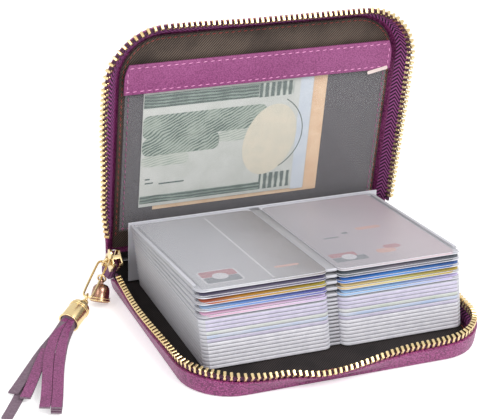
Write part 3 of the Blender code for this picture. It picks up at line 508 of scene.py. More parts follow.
# Bead cord: dark plum-brown, a painted shade for the shadow in the gaps between the teeth
shadedCordThread = plainFinish("bead_cord_painted_shade", "#2A1226", 0.7, "#5C2C55", 0.5 * mm)
tooth = toothShape()
for side in ("lower", "upper"):
    start = zipSizes["starts"][side]
    end = rimLength - start
    body = sides[side][2]
    steps = int((end - start) / zipSizes["step"])
    marks = [start + (end - start) * i / steps for i in range(steps + 1)]
    inset = cover["leather"] + cover["tapeGap"] + cover["tape"] / 2
    frames = []
    for mark in marks:
        low, high = cover["tapeFoot"], cover["wall"] + cover["tapeReveal"] + endRise(mark)
        frames.append(wallFrame(side, mark, low, inset)
                      @ Matrix.Diagonal((cover["tape"], high - low, 1, 1)))
    mesh = sweepAlong(zipSizes["tapeSection"], frames)
    across = mesh.verts.layers.float["across"]
    for vert in mesh.verts:
        vert[across] *= cover["wall"]
    place(side + "_herringbone_tape", mesh, tapeWeave, body,
          [side + "_zip_tape"], smooth=40)
    beadFrames = [wallFrame(side, m, cover["wall"] + cover["tapeReveal"] + endRise(m)
                            + zipSizes["bead"] * zipSizes["beadSeat"], inset) for m in marks]
    place(side + "_bead_cord_painted_shade", sweepAlong(roundSection(zipSizes["bead"]), beadFrames), shadedCordThread,
          body, smooth=60)
    teeth = bmesh.new()
    count = int((end - start - zipSizes["toothWidth"]) / zipSizes["pitch"])
    for i in range(count):
        at = start + (i + zipSizes["phase"][side]) * zipSizes["pitch"] + zipSizes["toothWidth"] / 2
        rise = cover["wall"] + cover["tapeReveal"] + endRise(at) + zipSizes["toothRise"]
        stampAt(teeth, tooth, wallFrame(side, at, rise, inset))
    place(side + "_metal_teeth", teeth, gold, body, [side + "_zip_teeth"], smooth=35)
print("zip ready")

# Stitches: short thread ovals, each a little aslant, set along a line on a cover
seams = {
    "length": 2.1 * mm, "thick": 0.42 * mm, "pitch": 3.3 * mm, "slant": 0.14,
    "rimInset": 4.0 * mm, "rimLift": 0.05 * mm, "rimPitch": 2.9 * mm, "rimMargin": 10 * mm,
    "endPitch": 3.0 * mm, "windowPitch": 2.7 * mm,
}
dot = bmesh.new()
bmesh.ops.create_uvsphere(dot, u_segments=6, v_segments=4, radius=0.5)
bmesh.ops.scale(dot, vec=(seams["length"], seams["thick"], seams["thick"]), verts=dot.verts)
stitch = shapeOf(dot, "stitch")
pinkThread = plainFinish("pink_thread", "#E58BC4", 0.6, "#F3B4DA", 0.4 * mm)
redThread = plainFinish("red_thread", "#8E2E34", 0.7, "#B4534A", 0.4 * mm)
plumThread = plainFinish("plum_thread", "#8A3B66", 0.7, "#B56A93", 0.4 * mm)


def straightSeam(mesh, placed, first, last, high, pitch):
    # Stitches from one point to another on a cover's inner side
    first, last = Vector((*first, high)), Vector((*last, high))
    way = (last - first).normalized()
    count = int((last - first).length / pitch)
    for i in range(count + 1):
        spot = placed @ basis(first + way * (i * pitch), way, Vector((0, 0, 1)).cross(way))
        stampAt(mesh, stitch, spot @ Matrix.Rotation(seams["slant"], 4, "Z"))


def rimSeam(mesh, side, inset, high, pitch, margin):
    # Stitches that keep one distance from a cover's rim
    placed = sides[side][0]
    count = int((rimLength - 2 * margin) / pitch)
    for i in range(count):
        point, out = rimAt(margin + i * pitch)
        way = Vector((out.y, -out.x, 0))
        spot = placed @ basis(point - out * inset + Vector((0, 0, high)), way, out)
        stampAt(mesh, stitch, spot @ Matrix.Rotation(seams["slant"], 4, "Z"))


# Covers: the hide, turned up at the foot, the twill lining and the seam that holds it
for side in ("lower", "upper"):
    body = sides[side][2]
    place(side + "_cover_hide", copyOf(side + "_cover_leather", edge=0.3 * mm, segments=3, angle=30),
          hide, body, [side + "_cover_leather"], smooth=50)
    place(side + "_twill", copyOf(side + "_lining", edge=0.15 * mm, segments=1, angle=30),
          twills[side], body, [side + "_lining"], smooth=50)
    seam = bmesh.new()
    rimSeam(seam, side, seams["rimInset"], cover["liningTop"] + seams["rimLift"], seams["rimPitch"],
            seams["rimMargin"])
    place(side + "_lining_seam", seam, redThread, body, smooth=180)
# Spine: the inner sides of both strips show the lower twill, darker with its painted shade, and the open
# edge of the upper one is feathered out to the foot of the upper cover
feather = {
    "foot": Vector((0, 64.5, 13.5)) * mm, "climb": Vector((0, -0.75, 0.66)), "reach": 0.4 * mm,
    "below": 2.0 * mm, "facing": 0.8,
    "inside": {"lower": Vector((0, -0.12, 0.99)), "upper": Vector((0, -0.66, -0.75))},
}
for run, body in (("lower", "spine_lower"), ("upper", "spine_upper")):
    strip = copyOf("spine_" + run + "_run", edge=0.2 * mm, segments=2, angle=50)
    if run == "upper":
        for vert in strip.verts:
            if (vert.co - feather["foot"]).dot(feather["climb"]) > -feather["below"]:
                vert.co += feather["reach"] * feather["climb"]
    strip.normal_update()
    for face in strip.faces:
        if face.normal.dot(feather["inside"][run]) > feather["facing"]:
            face.material_index = 1
    place("spine_" + run + "_hide", strip, [hide, twills["lower"]], body,
          ["spine_" + run + "_run"], smooth=50)
# Turned folds of leather fill the two pivots of the spine: centre and radius in millimetres, body
folds = {
    "length": 124 * mm, "sides": 16,
    "rolls": {"outer": ((0, 76.19, 3.41), 0.75, "spine_lower"),
              "upper": ((0, 64.55, 14.05), 0.9, "upper_cover")},
}
for fold, (spot, radius, body) in folds["rolls"].items():
    roll = bmesh.new()
    bmesh.ops.create_cone(roll, cap_ends=True, segments=folds["sides"], radius1=radius * mm,
                          radius2=radius * mm, depth=folds["length"],
                          matrix=Matrix.Translation(Vector(spot) * mm)
                          @ Matrix.Rotation(math.pi / 2, 4, "Y"))
    place(fold + "_fold", roll, hide, body, smooth=40)
greyboard = plainFinish("greyboard", "#8A8580", 0.9, "#77716B", 1.2 * mm)
for side in ("lower", "upper"):
    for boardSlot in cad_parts[side + "_stiffener_board"].material_slots:
        boardSlot.material = greyboard
print("covers ready")

# Pocket of the upper cover, in the cover's own plane: X across, Y up, Z out of the lining
pocket = {
    "low": 12.0 * mm, "high": 84.5 * mm, "half": 62.0 * mm, "sheetLow": 3.22 * mm, "sheetHigh": 3.4 * mm,
    "windowTop": 4.85 * mm, "bandLow": 80.5 * mm, "bandHigh": 94.5 * mm, "bandHalf": 63.0 * mm,
    "bandTop": 6.15 * mm, "threadLift": 0.04 * mm, "seamInset": 1.5 * mm,
    "inkLow": 4.32 * mm, "inkHigh": 4.36 * mm, "sheetCorner": 1.0 * mm, "sheetEdge": 0.05 * mm,
    "topSeamShort": 1.6 * mm, "endSeamShort": 2.0 * mm, "sideSeamShort": 1.0 * mm,
    "footSeamUp": 1.2 * mm, "noteFoot": 22.0 * mm, "footShow": 2.2 * mm,
}
backing = plainFinish("grey_leatherette", "#4D4649", 0.7, "#443E41", 3.0 * mm,
                      {"Specular IOR Level": 0.15})
sheet = roundedSlab(2 * pocket["half"], pocket["high"] - pocket["low"], pocket["sheetCorner"],
                    pocket["sheetLow"], pocket["sheetHigh"], pocket["sheetEdge"])
bmesh.ops.transform(sheet, matrix=upperPlace @ Matrix.Translation((0, pocket["high"], 0)),
                    verts=sheet.verts)
place("pocket_backing", sheet, backing, "upper_cover")
place("band_hide", copyOf("pocket_band", edge=0.3 * mm, segments=3, angle=30), bandHide,
      "upper_cover", ["pocket_band"], smooth=60)
seam = bmesh.new()
edge, lift = pocket["bandHalf"] - pocket["seamInset"], pocket["bandTop"] + pocket["threadLift"]
bottom, top = pocket["bandLow"] + pocket["seamInset"], pocket["bandHigh"] - pocket["seamInset"]
straightSeam(seam, upperPlace, (-edge, bottom), (edge, bottom), lift, seams["pitch"])
topEdge = edge - pocket["topSeamShort"]
straightSeam(seam, upperPlace, (-topEdge, top), (topEdge, top), lift, seams["pitch"])
for way in (-1, 1):
    straightSeam(seam, upperPlace, (way * edge, bottom + pocket["endSeamShort"]),
                 (way * edge, top - pocket["endSeamShort"]), lift, seams["endPitch"])
place("band_seam", seam, pinkThread, "upper_cover", smooth=180)
seam = bmesh.new()
edge, lift = pocket["half"] - pocket["seamInset"], pocket["windowTop"] + pocket["threadLift"]
bottom, top = pocket["low"] + pocket["sideSeamShort"], pocket["bandLow"] - pocket["sideSeamShort"]
for way in (-1, 1):
    straightSeam(seam, upperPlace, (way * edge, bottom), (way * edge, top), lift, seams["windowPitch"])
bottom = pocket["low"] + pocket["footSeamUp"]
straightSeam(seam, upperPlace, (-edge, bottom), (edge, bottom), lift, seams["windowPitch"])
place("window_seam", seam, plumThread, "upper_cover", smooth=180)
# Clear vinyl: almost unseen, with a faint milky cast and a gloss
windowFilm, tree, shader = makeMaterial("clear_vinyl", {"Roughness": 0.12, "Alpha": 0.10}, "#C9CBD0")
where = addNode(tree, "ShaderNodeTexCoord").outputs["Object"]
ripple = addNode(tree, "ShaderNodeTexNoise", {"Scale": 60.0, "Detail": 2.0}, {"Vector": where})
bump = addNode(tree, "ShaderNodeBump", {"Distance": 0.05 * mm}, {"Height": ripple.outputs["Fac"]})
tree.links.new(bump.outputs["Normal"], shader.inputs["Normal"])
place("window_film", copyOf("pocket_window"), windowFilm, "upper_cover",
      ["pocket_window"])

# Folded notes: cotton paper with a generic engraved border, panel and tint, without words
notePaper = plainFinish("cotton_paper", "#D6D8D2", 0.8, "#C9CCC4", 9.0 * mm)
marginPaper = plainFinish("blue_margin", "#CDD6E0", 0.8, "#DAE0E6", 6.0 * mm)
tintPaper = plainFinish("cream_tint", "#DCD6C2", 0.8, "#E6DCC6", 5.0 * mm)
peachPaper = plainFinish("peach_paper", "#F3D2AC", 0.8, "#EAC29A", 6.0 * mm)


def engravedInk(name, ground, ink, pitch, bend, slant):
    # Engraver's lines: fine waves of ink on paper, thick and thin by a broad tone
    made, tree, shader = makeMaterial(name, {"Roughness": 0.8}, ground)
    where = addNode(tree, "ShaderNodeTexCoord").outputs["Object"]
    turned = addNode(tree, "ShaderNodeMapping", {"Rotation": (lean, slant, 0.0)}, {"Vector": where})
    lines = addNode(tree, "ShaderNodeTexWave",
                    {"bands_direction": "Z", "Scale": waveRun["straight"] / pitch,
                     "Distortion": bend, "Detail": 2.0, "Detail Scale": 0.6},
                    {"Vector": turned.outputs["Vector"]})
    tone = addNode(tree, "ShaderNodeTexNoise", {"Scale": 140.0, "Detail": 3.0}, {"Vector": where})
    level = addNode(tree, "ShaderNodeMath", {"operation": "MULTIPLY_ADD", 1: 0.55, 2: -0.05},
                    {0: lines.outputs["Fac"]})
    total = addNode(tree, "ShaderNodeMath", {"operation": "ADD"},
                    {0: level.outputs[0], 1: tone.outputs["Fac"]})
    colour = addNode(tree, "ShaderNodeValToRGB", {"stops": ((0.45, ink), (0.82, ground))},
                     {"Fac": total.outputs[0]})
    tree.links.new(colour.outputs["Color"], shader.inputs["Base Color"])
    return made


borderInk = engravedInk("border_engraving", "#475A50", "#8D9F93", 1.5 * mm, 3.0, 0.0)
barInk = engravedInk("bar_engraving", "#54655D", "#D2D8CE", 2.8 * mm, 0.0, math.pi / 2)
panelInk = engravedInk("panel_engraving", "#AAB6A8", "#4A6356", 1.3 * mm, 7.0, 0.5)
fadeInk = engravedInk("fade_engraving", "#CBD0C5", "#A3AFA2", 1.2 * mm, 5.0, 0.2)
lineInk = plainFinish("line_ink", "#4A5C54", 0.8, "#5F7068", 1.0 * mm)
noteFinishes = [notePaper, borderInk, barInk, panelInk, fadeInk, lineInk, tintPaper, marginPaper]
# Printed areas: left, foot, width and height in the cover's plane and corner radius, all in
# millimetres, and the number of the finish
printedAreas = (
    (-53.0, 72.2, 53.6, 6.6, 0.2, 1), (0.3, 71.8, 17.0, 7.0, 0.4, 2), (-53.0, 57.0, 58.0, 11.5, 3.0, 3),
    (-53.0, 48.5, 36.0, 8.8, 3.0, 3), (-17.6, 51.5, 15.0, 5.4, 2.5, 4), (-53.0, 43.0, 22.0, 5.6, 2.5, 4),
    (-53.0, 24.4, 57.4, 3.9, 0.2, 1), (4.0, 24.4, 15.5, 8.2, 0.5, 2), (20.3, 22.3, 6.1, 61.7, 0.2, 7),
    (-51.0, 34.4, 4.0, 0.7, 0.3, 5), (-44.5, 33.6, 12.0, 0.7, 0.3, 5), (-51.0, 36.4, 2.4, 0.7, 0.3, 5),
)
note = copyOf("note_front")
# Its foot is drawn up a little, so that the note behind shows below it
for vert in note.verts:
    if (upperPlace.inverted() @ vert.co).y < pocket["noteFoot"]:
        vert.co += upperPlace.to_3x3() @ Vector((0, pocket["footShow"], 0))
for left, foot, wide, tall, radius, paint in printedAreas:
    plate = roundedSlab(wide * mm, tall * mm, radius * mm, pocket["inkLow"], pocket["inkHigh"],
                        paints=(paint, paint))
    stampAt(note, shapeOf(plate, "plate"),
            upperPlace @ Matrix.Translation(((left + wide / 2) * mm, (foot + tall) * mm, 0)))
# Cream tint: an oval on the right half of the note
tint = {"place": (7.5 * mm, 50 * mm), "turn": -0.25, "half": (12.5 * mm, 18 * mm),
        "thick": 0.05 * mm, "sides": 40, "finish": 6}
oval = bmesh.new()
bmesh.ops.create_circle(oval, cap_ends=True, segments=tint["sides"], radius=1.0)
grown = bmesh.ops.extrude_face_region(oval, geom=oval.faces[:])["geom"]
bmesh.ops.translate(oval, vec=(0, 0, 1),
                    verts=[g for g in grown if isinstance(g, bmesh.types.BMVert)])
bmesh.ops.recalc_face_normals(oval, faces=oval.faces)
stampAt(note, shapeOf(oval, "oval"),
        upperPlace @ Matrix.Translation((*tint["place"], pocket["inkLow"]))
        @ Matrix.Rotation(tint["turn"], 4, "Z") @ Matrix.Diagonal((*tint["half"], tint["thick"], 1)),
        tint["finish"])
# Fine frame line that bows round the tint: its section's corners and centre in millimetres
frameLine = {
    "section": ((13.0, 35.4, 4.37), (13.0, 35.9, 4.37), (13.0, 35.9, 4.40), (13.0, 35.4, 4.40)),
    "centre": (3.5, 53.0, 4.37), "turn": 118, "steps": 24, "finish": 5,
}
bow = bmesh.new()
start = bow.faces.new([bow.verts.new(Vector(spot) * mm) for spot in frameLine["section"]])
bmesh.ops.spin(bow, geom=[start], cent=Vector(frameLine["centre"]) * mm, axis=(0, 0, 1),
               angle=math.radians(frameLine["turn"]), steps=frameLine["steps"], use_duplicate=False)
bmesh.ops.recalc_face_normals(bow, faces=bow.faces)
stampAt(note, shapeOf(bow, "bow"), upperPlace, frameLine["finish"])
place("front_note", note, noteFinishes, "upper_cover", ["note_front"])
place("rear_note", copyOf("note_back"), peachPaper, "upper_cover", ["note_back"])
# A loose corner of the window's vinyl stands out below the band's right end; its pale pinkish colour is a
# painted reflection on the clear vinyl
loose = {"long": 10 * mm, "wide": 1.7 * mm, "corner": 0.7 * mm, "thick": 0.15 * mm,
         "place": (56.5 * mm, 81.3 * mm, 6.3 * mm), "turn": 0.2}
curl = roundedSlab(loose["long"], loose["wide"], loose["corner"], 0, loose["thick"])
bmesh.ops.transform(curl, matrix=upperPlace @ Matrix.Translation(loose["place"])
                    @ Matrix.Rotation(loose["turn"], 4, "Z"), verts=curl.verts)
# Pale pinkish colour: a painted reflection on the clear vinyl
curlReflection = plainFinish("vinyl_painted_reflection", "#DCC7C6", 0.3, "#EAD9D2", 2.0 * mm)
place("window_curl", curl, curlReflection, "upper_cover")
print("pocket ready")

# Card pages: welded sleeves of frosted film, two pockets wide; the five upper ones hold cards
pages = {
    "count": 18, "filled": 5, "half": 59.5 * mm, "gutter": 2.3 * mm, "length": 87.66 * mm,
    "pocketBack": 1.8 * mm, "corner": 3.6 * mm, "film": 0.18 * mm, "floorFilm": 0.30 * mm,
    "thick": 1.2 * mm, "emptyThick": 1.46 * mm, "weld": 0.5 * mm, "recess": 2.6 * mm,
    "shear": 3.5 * mm, "back": 52.7 * mm, "foot": 3.5 * mm, "backTop": 32.0 * mm,
    "frontTop": 40.3 * mm, "filledPitch": 2.9 * mm, "filledSetback": 1.0 * mm,
    "bead": 1.6 * mm, "beadTall": 1.32 * mm, "beadFlare": 0.55, "cardColumn": 29.5 * mm,
    "lipLong": 4.6 * mm, "lipRise": 1.3 * mm, "lipThick": 0.1 * mm, "lipShort": 2.4 * mm,
    "lipCorner": 1.8 * mm, "lipOut": 0.5 * mm, "cardWide": 54.0 * mm, "turning": 4,
    "weldSag": (0.8 * mm, 1.0 * mm),  # of the empty and of the filled leaves
    "weldOver": 0.4 * mm, "weldCorner": 0.4 * mm, "tongueShort": 2.0 * mm, "smallCorner": 0.3 * mm,
    "emptyEdge": 0.17 * mm, "floorEdge": 0.1 * mm, "topEdge": 0.06 * mm, "lipEdge": 0.03 * mm,
    "beadEdge": 0.25 * mm, "weldEdge": 0.08 * mm,
    # A film's rim that looks sideways past the first turn takes the painted half shade, past the second
    # the painted shade
    "halfShadeTurn": 0.4, "fullShadeTurn": 0.93,  # how far a film's rim looks sideways
}


def filmFinish(name, code, other, roughness, alpha):
    # Frosted PVC film: cloudy, faintly streaked along the sleeve, with a wide soft highlight
    made, tree, shader = makeMaterial(name, {"Roughness": roughness, "Alpha": alpha}, code)
    where = addNode(tree, "ShaderNodeTexCoord").outputs["Object"]
    drawn = addNode(tree, "ShaderNodeMapping", {"Scale": (1.0, 0.12, 1.0)}, {"Vector": where})
    streak = addNode(tree, "ShaderNodeTexNoise", {"Scale": 260.0, "Detail": 3.0},
                     {"Vector": drawn.outputs["Vector"]})
    cloud = addNode(tree, "ShaderNodeTexNoise", {"Scale": 22.0, "Detail": 2.0}, {"Vector": where})
    level = addNode(tree, "ShaderNodeMath", {"operation": "MULTIPLY_ADD", 1: 0.35, 2: 0.0},
                    {0: streak.outputs["Fac"]})
    total = addNode(tree, "ShaderNodeMath", {"operation": "ADD"},
                    {0: level.outputs[0], 1: cloud.outputs["Fac"]})
    colour = addNode(tree, "ShaderNodeValToRGB", {"stops": ((0.45, code), (0.85, other))},
                     {"Fac": total.outputs[0]})
    tree.links.new(colour.outputs["Color"], shader.inputs["Base Color"])
    bump = addNode(tree, "ShaderNodeBump", {"Distance": 0.03 * mm}, {"Height": streak.outputs["Fac"]})
    tree.links.new(bump.outputs["Normal"], shader.inputs["Normal"])
    return made


frostedFace = filmFinish("frosted_film", "#C2C3C9", "#CECED5", 0.36, 1.0)
clearTop = filmFinish("frosted_top_film", "#CFD0D5", "#DADADF", 0.34, 0.22)
# The sleeve's side and corner greys are darker than its face: painted shade where the pack's side turns
# from the light, and a painted half shade on the rounded corners
shadedSideFilm = filmFinish("sleeve_side_painted_shade", "#A9AAAF", "#B9BABF", 0.45, 1.0)
gutterFilm = filmFinish("welded_gutter", "#A4A4A8", "#AFAFB3", 0.4, 1.0)
# The cut edges: near white, a painted highlight where the films' edges catch the light; some leaves' edges
# are tinted
litCutEdges = [plainFinish("cut_film_edge_painted_highlight", "#F0F0F6", 0.45, "#E0E0E8", 3.0 * mm),
            plainFinish("lavender_film_edge", "#D5D0E4", 0.45, "#C6C2D8", 3.0 * mm),
            plainFinish("azure_film_edge", "#B4C6E4", 0.45, "#DADDE6", 14.0 * mm),
            plainFinish("sage_film_edge", "#C6CEC4", 0.45, "#E0E1E3", 14.0 * mm)]
halfShadedCornerFilm = plainFinish("film_corner_painted_half_shade", "#C4C4CB", 0.45, "#CFCFD6", 3.0 * mm)
# The leaves whose cut edge is tinted, counted from the lowest as 0
edgeOf = {7: 1, 8: 2, 9: 3, 10: 1, 11: 1, 12: 1}


def pageMatrix(index):
    # The leaves rise evenly at the binder, and the filled ones stand further apart at the front
    backPitch = (pages["backTop"] - pages["foot"]) / pages["count"]
    empties = pages["count"] - pages["filled"]
    emptyTop = pages["frontTop"] - pages["filledSetback"] - (pages["filled"] - 0.5) * pages["filledPitch"]
    back = pages["foot"] + (index + 0.5) * backPitch
    front = pages["foot"] + (index + 0.5) * (emptyTop - pages["foot"]) / empties
    if index >= empties:
        front = emptyTop + (index - empties + 0.5) * pages["filledPitch"]
    middle = pages["shear"] * (1 - index / (pages["count"] - 1))
    return (Matrix.Translation((middle, pages["back"], back))
            @ Matrix.Rotation(-math.asin((front - back) / pages["length"]), 4, "X"))


def leafMesh(filled, printed):
    # One leaf in its own plane; its finishes are 0 face, 1 cut edge with its painted highlight, 2 side in
    # painted shade,
    # 3 gutter, 4 clear top, 5 corner in painted half shade and, where it is printed, 6 and 7 the left and
    # the right card's print
    mesh = bmesh.new()
    half = (pages["thick"] if filled else pages["emptyThick"]) / 2
    wide = pages["half"] - pages["gutter"]
    long = pages["length"] - pages["pocketBack"]
    layers = ((-half, half, pages["emptyEdge"], 2, 0),)
    if filled:
        layers = ((-half, pages["floorFilm"] - half, pages["floorEdge"], 1, 0),
                  (half - pages["film"], half, pages["topEdge"], 1, 4))
    for column in (-1, 1):
        middle = column * (pages["half"] + pages["gutter"]) / 2
        for low, high, edge, segments, paint in layers:
            film = roundedSlab(wide, long, pages["corner"], low, high, edge, segments, 5, (paint, 1))
            for face in film.faces:
                # Rims turned to the side are painted in shade, those between in half shade, as the light
                # falls off round the corner
                turnedOut = face.normal.x * column
                if turnedOut > pages["halfShadeTurn"]:
                    face.material_index = 2 if turnedOut > pages["fullShadeTurn"] else 5
            stampAt(mesh, shapeOf(film, "film"), Matrix.Translation((middle, -pages["pocketBack"], 0)))
        if printed:
            # The mouth gapes a little over its card, and the print shows through it
            lip = roundedSlab(wide - pages["lipShort"], pages["lipLong"], pages["lipCorner"], 0,
                              pages["lipThick"], pages["lipEdge"], 1, 4, (6 if column < 0 else 7,) * 2)
            tilt = math.asin(pages["lipRise"] / pages["lipLong"])
            stampAt(mesh, shapeOf(lip, "lip"), Matrix.Translation(
                (middle, pages["lipLong"] - pages["length"] + pages["lipOut"], half + pages["lipRise"]))
                @ Matrix.Rotation(tilt, 4, "X"))
        if filled:
            bead = roundedSlab(pages["bead"], long - 2 * pages["corner"], pages["smallCorner"],
                               -0.5 * pages["beadTall"], 0.5 * pages["beadTall"], pages["beadEdge"],
                               2, 2, (0, 2))
            for vert in bead.verts:
                vert.co.z *= 1 - pages["beadFlare"] * vert.co.y / long
            stampAt(mesh, shapeOf(bead, "bead"), Matrix.Translation(
                (column * (pages["half"] - pages["bead"] / 2), -2 * pages["pocketBack"], 0)))
    # The films sag together at the weld between the pockets, which all but fills the gap below
    sag = pages["weldSag"][filled]
    weld = roundedSlab(2 * pages["gutter"] + pages["weldOver"], pages["length"] - pages["recess"],
                       pages["weldCorner"], -sag, pages["weld"] / 2, pages["weldEdge"], 1, 3, (3, 5))
    stampAt(mesh, shapeOf(weld, "weld"), Matrix.Identity(4))
    tongue = roundedSlab(2 * pages["half"] - pages["tongueShort"], 2 * pages["pocketBack"],
                         pages["smallCorner"], -pages["weld"] / 2, pages["weld"] / 2,
                         pages["weldEdge"], 1, 2, (0, 1))
    stampAt(mesh, shapeOf(tongue, "tongue"), Matrix.Identity(4))
    return shapeOf(mesh, "leaf")


# Printed PVC cards: a tint that changes across the card, under a clear laminate
cardPrints = {
    "card_14_left": ((0.0, "#D9A9C6"), (0.6, "#E3C3DC"), (1.0, "#C9B8E0")),
    "card_14_right": ((0.0, "#9CC0E6"), (0.5, "#8FB6E0"), (1.0, "#C4B8E0")),
    "card_15_left": ((0.0, "#8FA9C9"), (0.35, "#6E97D8"), (1.0, "#6660A8")),
    "card_15_right": ((0.0, "#D8B98A"), (0.5, "#C9C07A"), (1.0, "#B39A3E")),
    "card_16_left": ((0.0, "#A65238"), (0.35, "#C08430"), (1.0, "#A8993A")),
    "card_16_right": ((0.0, "#2C62B4"), (0.5, "#4C8AD0"), (1.0, "#3A5E9E")),
    "card_17_left": ((0.0, "#565066"), (0.5, "#6A6478"), (1.0, "#4A4668")),
    "card_17_right": ((0.0, "#4C5A60"), (0.5, "#7C7480"), (1.0, "#565E66")),
    "card_18_left": ((0.0, "#C4C5CA"), (0.5, "#BBBBBF"), (1.0, "#827A78")),
    "card_18_right": ((0.0, "#B6B1B7"), (0.5, "#C2B6BC"), (1.0, "#CDB6BD")),
}
# The body that a card rides on where it isn't its page
cardBodies = {"card_14_left": "lower_cover", "card_14_right": "lower_cover",
              "card_18_left": "top_card_left", "card_18_right": "top_card_right"}
prints = {}
for node, stops in cardPrints.items():
    plastic, tree, shader = makeMaterial(node + "_print", {"Roughness": 0.3}, stops[0][1])
    where = addNode(tree, "ShaderNodeTexCoord").outputs["Object"]
    across = addNode(tree, "ShaderNodeSeparateXYZ", {}, {"Vector": where})
    cloud = addNode(tree, "ShaderNodeTexNoise", {"Scale": 50.0, "Detail": 2.0}, {"Vector": where})
    column = 1 if node.endswith("right") else -1
    middle = column * pages["cardColumn"]
    share = addNode(tree, "ShaderNodeMapRange", {"From Min": middle - pages["cardWide"] / 2,
                                                 "From Max": middle + pages["cardWide"] / 2},
                    {"Value": across.outputs["X"]})
    level = addNode(tree, "ShaderNodeMath", {"operation": "MULTIPLY_ADD", 1: 0.3},
                    {0: cloud.outputs["Fac"], 2: share.outputs["Result"]})
    shift = addNode(tree, "ShaderNodeMath", {"operation": "SUBTRACT", 1: 0.15}, {0: level.outputs[0]})
    colour = addNode(tree, "ShaderNodeValToRGB", {"stops": stops}, {"Fac": shift.outputs[0]})
    tree.links.new(colour.outputs["Color"], shader.inputs["Base Color"])
    prints[node] = plastic
    place(node + "_plastic", copyOf(node, edge=0.08 * mm, segments=1, angle=40), plastic,
          cardBodies.get(node, "page_" + node[5:7]), [node])

# The top leaf lies flat over its cards, so it has no lips
leafShapes = {"empty": leafMesh(False, False), "filled": leafMesh(True, True),
              "top": leafMesh(True, False)}
for index in range(pages["count"]):
    node = "leaf_%02d" % (index + 1)
    filled = index >= pages["count"] - pages["filled"]
    kind = "filled" if filled else "empty"
    if index == pages["count"] - 1:
        kind = "top"
    body = "page_%02d" % (index + 1) if index >= pages["count"] - pages["turning"] else "lower_cover"
    finishes = [frostedFace, litCutEdges[edgeOf.get(index, 0)], shadedSideFilm, gutterFilm, clearTop, halfShadedCornerFilm]
    if filled:
        finishes += [prints["card" + node[4:] + way] for way in ("_left", "_right")]
    mesh = bmesh.new()
    stampAt(mesh, leafShapes[kind], pageMatrix(index))
    place(node + "_film", mesh, finishes, body, [node], smooth=50)
print("leaves ready")

# Generic marks on the two top cards, under the film: left, front, width and depth in the leaf's
# plane and corner radius, all in millimetres, then the number of the ink and of the layer
inks = [plainFinish("pale_ink", "#E6E4E8", 0.4, "#D8D6DC", 2 * mm),
        plainFinish("red_ink", "#C4838A", 0.4, "#B06A74", 2 * mm),
        plainFinish("grey_ink", "#6E767E", 0.4, "#858C92", 2 * mm),
        plainFinish("coral_ink", "#E3B5A6", 0.4, "#D9A596", 2 * mm)]
cardMarks = {
    "top_card_left": ((-53.5, -82.5, 17.0, 14.5, 2.0, 0, 0), (-52.7, -81.7, 15.4, 6.2, 1.2, 2, 1),
                      (-52.7, -75.2, 15.4, 6.4, 1.2, 1, 1), (-48.4, -78.6, 6.8, 6.8, 3.3, 0, 2),
                      (-26.0, -85.0, 0.9, 80.0, 0.3, 0, 0), (-21.0, -75.5, 11.0, 2.0, 0.9, 3, 0)),
    "top_card_right": ((5.0, -80.0, 15.0, 5.0, 0.8, 2, 0), (5.0, -74.6, 12.0, 4.6, 0.8, 1, 0),
                       (9.4, -78.6, 6.4, 6.4, 3.1, 0, 1), (26.0, -76.5, 9.0, 5.0, 2.4, 3, 0),
                       (31.0, -72.4, 8.0, 4.4, 2.1, 1, 0), (12.0, -52.0, 7.0, 1.4, 0.6, 2, 0),
                       (22.0, -49.0, 3.0, 2.4, 1.1, 2, 0), (30.0, -46.5, 12.0, 3.2, 1.5, 3, 0)),
}
markSizes = {"low": 0.383, "step": 0.01, "thick": 0.008}
topPage = pageMatrix(pages["count"] - 1)
for body, marks in cardMarks.items():
    mesh = bmesh.new()
    for left, front, wide, deep, radius, paint, layer in marks:
        low = (markSizes["low"] + markSizes["step"] * layer) * mm
        plate = roundedSlab(wide * mm, deep * mm, radius * mm, low, low + markSizes["thick"] * mm,
                            paints=(paint, paint))
        stampAt(mesh, shapeOf(plate, "mark"),
                topPage @ Matrix.Translation(((left + wide / 2) * mm, (front + deep) * mm, 0)))
    place(body + "_marks", mesh, inks, body)
place("binder_strip", copyOf("page_binder", edge=0.1 * mm), frostedFace, "lower_cover",
      ["page_binder"])
print("cards ready")

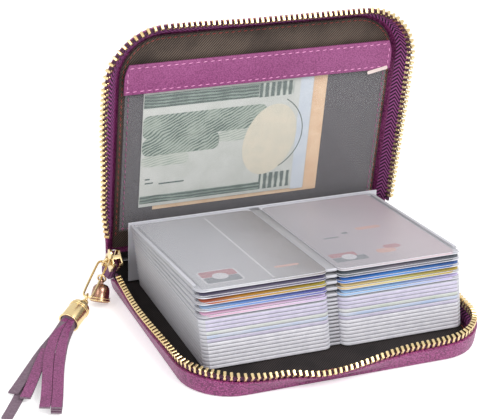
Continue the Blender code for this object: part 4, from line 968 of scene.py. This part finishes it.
# Hardware on the slider, cast and plated: each piece's body, its edges' rounding and its plating
hardware = {
    "slider_body": ("lower_cover", 0.25 * mm, gold), "pull_tab": ("tab", 0.3 * mm, gold),
    "zip_stop": ("lower_cover", 0.2 * mm, gold), "tassel_cap": ("tassel", 0.2 * mm, gold),
    "charm_bell": ("charm", 0.15 * mm, roseGold),
}
for node, (body, edge, finish) in hardware.items():
    place(node + "_plated", copyOf(node, edge=edge, segments=2, angle=40), finish, body,
          [node], smooth=50)
for node, body in (("pull_ring", "ring"), ("tassel_link", "link_of_tassel"),
                   ("charm_link", "link_of_charm")):
    place(node + "_plated", copyOf(node), gold, body, [node], smooth=180, level=1)
# Fringe: two strips show their grain side, the others and every cut edge their mauve suede
fringe = {"mouth": Vector((-95.0, 23.2, 4.7)) * mm, "way": Vector((-0.7126, -0.6416, -0.2840)),
          "parting": 0.26, "start": -2.0 * mm, "facing": 0.5}
suede = plainFinish("mauve_suede", "#6F5A69", 0.85, "#84707D", 0.6 * mm)
strips = copyOf("tassel_fringe", edge=0.12 * mm, segments=1, angle=40)
strips.normal_update()
rightward = Vector((0, 0, 1)).cross(fringe["way"]).normalized()
for face in strips.faces:
    out = face.calc_center_median() - fringe["mouth"]
    edge = fringe["start"] + fringe["parting"] * out.dot(fringe["way"])
    if face.normal.z < fringe["facing"] or out.dot(rightward) < edge:
        face.material_index = 1
place("fringe_strips", strips, [strapHide, suede], "tassel", ["tassel_fringe"],
      smooth=40)
for node in ("zip_tail_left", "zip_end_right"):
    place(node + "_weave", copyOf(node), tapeWeave, "lower_cover", [node], smooth=40)

# Rolled rims on the tassel's cap and the charm, swept round their own axes: pivot and way, then
# each rim's distance, radius and wire in millimetres
rimSteps = 32
rims = {
    "tassel": (Vector((-86.732, 30.624, 8.026)), Vector((-0.712556, -0.641550, -0.284037)),
               ((13.3, 4.45, 0.35), (5.2, 4.45, 0.28), (4.3, 4.40, 0.28))),
    "charm": (Vector((-74.765, 43.517, 10.166)), Vector((-0.253571, -0.338095, -0.906308)),
              ((8.3, 4.5, 0.32), (7.2, 4.35, 0.28))),
}
for body, (pivot, way, beads) in rims.items():
    mesh = bmesh.new()
    side = way.orthogonal().normalized()
    for at, radius, wire in beads:
        frames = []
        for i in range(rimSteps + 1):
            out = Matrix.Rotation(2 * math.pi * i / rimSteps, 3, way) @ side
            frames.append(basis((pivot + way * at + out * radius) * mm, out, way))
        wireRing = sweepAlong(roundSection(wire * mm), frames, closed=True)
        stampAt(mesh, shapeOf(wireRing, "bead"), Matrix.Identity(4))
    place(body + "_rims", mesh, gold, body, smooth=60)
print("hardware ready")
